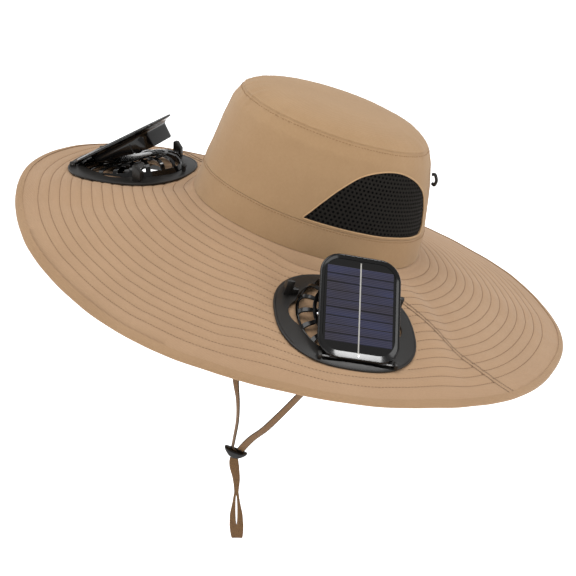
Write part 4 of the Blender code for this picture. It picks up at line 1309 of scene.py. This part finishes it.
def lid_bevel(inset, hinge_inset, z, hinge_z):
    """A ring inside the frame, lower or higher at the hinge edge than at the others."""
    ring = []
    for x, y in rounded(LID_WIDTH - 2 * inset, hinge_inset, LID_LENGTH - inset, LID_CORNER - inset):
        near = 1 - smoothstep((y - hinge_inset) / (LID_CORNER * 0.8))
        ring.append((x, y, z + (hinge_z - z) * near))
    return ring


def build_lid(word, seat):
    flare = rounded(LID_WIDTH - 0.004, BOX_START - 0.001, LID_LENGTH - 0.002, LID_CORNER - 0.002)
    neck = rounded(BOX_WIDTH, BOX_START, BOX_END, BOX_CORNER)
    rings = [
        lid_ring(LID_RIM, -PANEL_WALL - 2 * GAP), lid_bevel(LID_RIM, 0.0062, -PANEL_TOP, -PANEL_TOP),
        lid_bevel(0.0019, 0.0018, -0.0002, 0.0003), lid_bevel(0.0012, 0.0010, 0.0, 0.0005),
        lid_ring(0.0004, -0.0002), lid_ring(0.0, -0.0007), lid_ring(0.0, -LID_EDGE + 0.0003),
        lid_ring(0.0004, -LID_EDGE),
    ]
    top, bottom = -LID_EDGE - 0.0004, -NECK_DEPTH
    for share in steps(0.0, 1.0, 8):
        blend = math.sin(share * math.pi / 2)
        z = top + (bottom - top) * share**1.6
        rings.append([(x + (a - x) * blend, y + (b - y) * blend, z) for (x, y), (a, b) in zip(flare, neck)])
    rings.append([(x, y, box_depth(y) + 0.0008) for x, y in neck])
    rings.append([(x * 0.98, y * 0.98 + 0.0009, box_depth(y)) for x, y in neck])
    parts = [as_object(f"lid_{word}", skin(rings))]
    for way in (1, -1):
        ends = [(way * x, PIN_INSET, -PIN_DROP) for x in (0.0120, 0.0210)]
        parts.append(rod(*ends, KNUCKLE_RADIUS, 32, 0.0003))
        rib_x = way * BOX_WIDTH / 2
        rib_top = -NECK_DEPTH - 0.0004
        parts.append(rod((rib_x, RIB_AT, rib_top), (rib_x, RIB_AT, box_depth(RIB_AT)), 0.0005, 12))
    lid = joined(f"lid_{word}", *parts)
    place = seat @ LID_PLACE
    piece(seated(lid, place), GLOSS_ABS, "black_plastic", f"lid_{word}", f"solar_lid_{word}", angle=40)

    inset = LID_RIM + GAP
    board = rounded(LID_WIDTH - 2 * inset, inset, LID_LENGTH - inset, LID_CORNER - inset)
    rings = [[(x, y, -z) for x, y in board] for z in (PANEL_WALL + GAP, PANEL_TOP)]
    panel = as_object(f"panel_{word}", skin(rings))
    piece(seated(panel, place), BOARD, "solar_cells", f"lid_{word}", f"solar_panel_{word}", angle=20)
    build_cells(word, place)


CELL_STRIPS = 9
CELLS_START = 0.0125
CELLS_END = 0.0695
CELLS_HALF = 0.0248
CELL_GAP = 0.0007
BUSBAR_HALF = 0.0005
BUSBAR_WALL = 0.00012
# The busbar's way along the lid: place, and height over the panel
BUSBAR_ROUTE = [(0.0735, 0.0), (0.0066, 0.0), (0.0058, 0.00005), (0.0030, 0.00105)]


def build_cells(word, place):
    """Strips of silicon and the busbar on the board, with a map in millimetres."""
    pitch = (CELLS_END - CELLS_START) / CELL_STRIPS
    mesh = bmesh.new()
    for number in range(CELL_STRIPS):
        low = CELLS_START + pitch * number + CELL_GAP / 2
        high = CELLS_START + pitch * (number + 1) - CELL_GAP / 2
        corners = [(-CELLS_HALF, low), (CELLS_HALF, low), (CELLS_HALF, high), (-CELLS_HALF, high)]
        mesh.faces.new([mesh.verts.new((x, y, 0.00005 - PANEL_TOP)) for x, y in corners])
    flat = mesh.loops.layers.uv.new("millimetres")
    for face in mesh.faces:
        for loop in face.loops:
            loop[flat].uv = (loop.vert.co.x * 1000, loop.vert.co.y * 1000)
    cells = as_object(f"cells_{word}", mesh)
    piece(seated(cells, place), CELL, "solar_cells", f"lid_{word}", angle=50)
    sections = []
    for y, z in BUSBAR_ROUTE:
        low = z - PANEL_TOP + 0.00002
        high = low + BUSBAR_WALL
        sections.append([
            (-BUSBAR_HALF, y, low), (-BUSBAR_HALF, y, high), (BUSBAR_HALF, y, high), (BUSBAR_HALF, y, low),
        ])
    busbar = as_object(f"busbar_{word}", skin(sections))
    piece(seated(busbar, place), BUSBAR, "solar_cells", f"lid_{word}")


def build_pin(word, seat):
    ends = [(LID_SHIFT + way * LUG_END, HINGE.y, HINGE.z) for way in (-1, 1)]
    pin = rod(*ends, PIN_RADIUS, 24, 0.0002)
    pin.name = f"pin_{word}"
    piece(seated(pin, seat), STEEL, "steel", ROOT, f"hinge_pin_{word}")


for side_word, side_seat in SEATS.items():
    build_flange(side_word, side_seat)
    build_cage(side_word, side_seat)
    build_cup(side_word, side_seat)
    build_rotor(side_word, side_seat)
    build_lid(side_word, side_seat)
    build_pin(side_word, side_seat)

# %% [markdown]
# ## The chin strap
# A flat braid runs from inside the crown at each side down to a cord lock, and both ends go on
# together below it as a tail with a sewn loop. A flat cord is a ribbon swept along its route, whose
# width turns slowly from along the brim at the crown to the lock's own direction.

# %% Chin strap
STRAP_WIDTH = 0.0066
STRAP_WALL = 0.0010
LOCK_TURN = 42.0
LOCK_PLACE = Vector((0.0, 0.0200, -0.2230))
LEFT_LEG = [
    (0.0870, 0.0000, 0.0070), (0.0875, 0.0000, -0.0030), (0.0866, 0.0006, -0.0300),
    (0.0815, 0.0015, -0.0650), (0.0715, 0.0030, -0.1000), (0.0553, 0.0060, -0.1325),
    (0.0415, 0.0090, -0.1590), (0.0287, 0.0120, -0.1815), (0.0162, 0.0155, -0.1985),
    (0.0076, 0.0192, -0.2120), (0.0027, 0.0224, -0.2198),
]
RIGHT_LEG = [
    (-0.0870, 0.0000, 0.0070), (-0.0875, 0.0000, -0.0030), (-0.0820, 0.0006, -0.0320),
    (-0.0680, 0.0018, -0.0680), (-0.0500, 0.0034, -0.1020), (-0.0310, 0.0048, -0.1350),
    (-0.0152, 0.0060, -0.1614), (-0.0082, 0.0090, -0.1760), (-0.0044, 0.0130, -0.1930),
    (-0.0032, 0.0162, -0.2110), (-0.0027, 0.0176, -0.2198),
]
TAIL = [
    (0.0002, 0.0202, -0.2277), (0.0030, 0.0218, -0.2350), (0.0080, 0.0255, -0.2467),
    (0.0124, 0.0298, -0.2650), (0.0174, 0.0338, -0.2829), (0.0222, 0.0376, -0.2985),
]
# Share of the tail's length, then its width as a share of STRAP_WIDTH
TAIL_WIDTHS = [
    (0.0, 0.98), (0.10, 1.22), (0.22, 1.28), (0.40, 0.92), (0.52, 0.56),
    (0.62, 1.00), (0.74, 1.70), (0.86, 1.86), (0.94, 1.72), (1.0, 1.48),
]
LOOP_START, LOOP_END, LOOP_SLIT = 0.56, 0.86, 0.0017


def ribbon(name, route, width_at, wall, start_across, end_across):
    """A flat ribbon with rolled edges along a route."""
    outline = [
        (1, 0.25), (0.82, 0.5), (0, 0.42), (-0.82, 0.5), (-1, 0.25),
        (-1, -0.25), (-0.82, -0.5), (0, -0.42), (0.82, -0.5), (1, -0.25),
    ]
    sections = []
    last = len(route) - 1
    for number, point in enumerate(route):
        share = number / last
        along = (route[min(number + 1, last)] - route[max(number - 1, 0)]).normalized()
        across = Vector(start_across).lerp(Vector(end_across), smoothstep(share))
        across = (across - along * across.dot(along)).normalized()
        facing = along.cross(across)
        half = width_at(share) / 2
        sections.append([point + across * x * half + facing * y * wall for x, y in outline])
    return as_object(name, skin(sections))


def darken_edges(strap):
    """The faces along the braid's rolled edges are given a darker colour. Each ring has ten faces."""
    strap.data.materials.append(BRAID_EDGE)
    for face in strap.data.polygons:
        if face.index % 10 in (0, 3, 4, 5, 8, 9):
            face.material_index = 1


LOCK_ACROSS = (math.cos(math.radians(LOCK_TURN)), math.sin(math.radians(LOCK_TURN)), 0)
LEG_ACROSS = {"left": LOCK_ACROSS, "right": (0.90, -0.43, 0)}


LOCK_HALF_HEIGHT = 0.0052
LOCK_HALF_DEPTH = 0.0047
LOCK_LENGTH = 0.0204
# Share of the lock's length from its middle, then how high, low and deep it is there
LOCK_ROWS = [
    (-0.50, 0.62, -0.30, 0.30), (-0.46, 0.61, -0.05, 0.50), (-0.40, 0.60, 0.20, 0.72),
    (-0.30, 0.60, 0.52, 0.90), (-0.20, 0.62, 0.80, 1.00), (0.0, 0.66, 1.00, 1.00),
    (0.20, 0.62, 0.80, 1.00), (0.30, 0.60, 0.52, 0.90), (0.40, 0.60, 0.20, 0.72),
    (0.46, 0.61, -0.05, 0.50), (0.50, 0.62, -0.30, 0.30),
]


def build_lock():
    turn = Matrix.Translation(LOCK_PLACE) @ Matrix.Rotation(math.radians(LOCK_TURN), 4, "Z")
    sections = []
    for along, up, down, depth in LOCK_ROWS:
        high, low = up * LOCK_HALF_HEIGHT, -down * LOCK_HALF_HEIGHT
        middle, half = (high + low) / 2, (high - low) / 2
        section = []
        for angle in steps(0, 2 * math.pi, 28)[:-1]:
            x, y = math.cos(angle), math.sin(angle)
            squared_x = math.copysign(abs(x) ** 0.7, x)
            squared_y = math.copysign(abs(y) ** 0.7, y)
            out = depth * LOCK_HALF_DEPTH * squared_x
            section.append(Vector((along * LOCK_LENGTH, out, middle + half * squared_y)))
        sections.append(section)
    lock = as_object("lock", skin(sections))
    slot_high = rod((-0.0052, 0, 0.0030), (0.0052, 0, 0.0030), 0.0012, 16)
    lock = joined("lock", lock, bevelled(slot_high, 0.0003))
    return piece(seated(lock, turn), GLOSS_ABS, "black_plastic", ROOT, "cord_lock", angle=50)


def build_strap():
    lock = build_lock()
    for word, points in (("left", LEFT_LEG), ("right", RIGHT_LEG)):
        route = smooth_route(points, 6)
        across = LEG_ACROSS[word]
        leg = ribbon(f"strap_{word}", route, lambda share: STRAP_WIDTH, STRAP_WALL, (0, 1, 0), across)
        piece(leg, BRAID, "strap_braid", ROOT, f"chin_strap_{word}", angle=60)
        darken_edges(leg)
    route = smooth_route(TAIL, 8)

    def tail_width(share):
        return STRAP_WIDTH * read(TAIL_WIDTHS, share)

    tail = ribbon("strap_tail", route, tail_width, 2 * STRAP_WALL, LOCK_ACROSS, LOCK_ACROSS)
    last = len(route) - 1
    start, end = (route[round(share * last)] for share in (LOOP_START, LOOP_END))
    along = (end - start).normalized()
    across = Vector(LOCK_ACROSS)
    across = (across - along * across.dot(along)).normalized()
    facing = along.cross(across)
    middle, half_length = (start + end) / 2, (end - start).length / 2
    outline = [
        middle + along * half_length * math.cos(turn) + across * LOOP_SLIT / 2 * math.sin(turn)
        for turn in steps(0, 2 * math.pi, 24)[:-1]
    ]
    rings = [[point + facing * out for point in outline] for out in (-0.006, 0.006)]
    boolean(tail, as_object("loop_cutter", skin(rings)))
    piece(tail, BRAID, "strap_braid", ROOT, "chin_strap_tail", angle=60)


build_strap()

# %% [markdown]
# ### The end of the elastic
# An elastic cord runs round the crown inside, and a small loop of it stands out at the back left.


# %% Adjuster loop
ELASTIC_RADIUS = 0.0013
ELASTIC_REACH = 0.0038


def build_adjuster():
    start = crown_point(129.5, 0.80, -ELASTIC_RADIUS - GAP)
    end = crown_point(133.5, 0.71, -ELASTIC_RADIUS - GAP)
    out = Vector((start.x, start.y + TIP_LEAN, 0)).normalized() * ELASTIC_REACH
    bulge = Vector((0, 0, 0.0008))
    points = [start, start + out * 0.6 + bulge, (start + end) / 2 + out, end + out * 0.6 - bulge, end]
    route = smooth_route(points, 6)
    sections = []
    for number, point in enumerate(route):
        along = (route[min(number + 1, len(route) - 1)] - route[max(number - 1, 0)]).normalized()
        side = along.cross(Vector((0.3, 0.2, 0.9))).normalized()
        other = along.cross(side)
        sections.append([
            point + (side * math.cos(turn) + other * math.sin(turn)) * ELASTIC_RADIUS
            for turn in steps(0, 2 * math.pi, 12)[:-1]
        ])
    loop = as_object("elastic_loop", skin(sections))
    piece(loop, ELASTIC, "elastic_cord", ROOT, "adjuster_loop", angle=60)


build_adjuster()

# %% [markdown]
# ## Studio
# Catalogue pictures are often taken over a light table, a sheet of opal acrylic lit from below, which
# leaves no shadow and a plain white background. The room around it is a soft grey, so the black
# plastic stays dark. A big soft light above and in front shapes the crown, two more fill the sides,
# and a small one overhead is what the frame of the lid reflects.


# %% Studio
def area_light(name, place, aim, size, power):
    turn = (Vector(aim) - Vector(place)).to_track_quat("-Z", "Y").to_euler()
    bpy.ops.object.light_add(type="AREA", location=place, rotation=turn)
    light = bpy.context.object
    light.name = name
    light.data.shape = "RECTANGLE"
    light.data.size, light.data.size_y = size
    light.data.energy = power
    return light


def build_studio():
    bpy.ops.object.select_all(action="DESELECT")
    bpy.ops.mesh.primitive_circle_add(vertices=96, radius=20, fill_type="NGON", location=(0, 0, -0.42))
    floor = bpy.context.object
    floor.name = "studio_floor"
    acrylic, _, _ = new_material(
        "backlit opal acrylic", "#F4F4F4", 0.6, Emission_Color=(1, 1, 1, 1), Emission_Strength=0.75
    )
    floor.data.materials.append(acrylic)
    world = bpy.data.worlds.new("grey studio")
    bpy.context.scene.world = world
    world.use_nodes = True
    world.node_tree.nodes["Background"].inputs["Color"].default_value = (1, 1, 1, 1)
    world.node_tree.nodes["Background"].inputs["Strength"].default_value = 0.5
    area_light("key", (-0.4, -1.4, 2.9), (0, 0, 0), (2.4, 2.4), 62)
    area_light("fill", (2.6, 0.7, 1.3), (0, 0, 0), (2.0, 2.0), 30)
    area_light("side", (-2.4, -0.9, 1.3), (0, 0, 0), (1.6, 1.6), 10)
    area_light("lid reflection", (0.10, 0.50, 2.19), (0.13, -0.1, 0), (0.36, 0.36), 9)
    bpy.context.scene.view_settings.view_transform = "Standard"


build_studio()
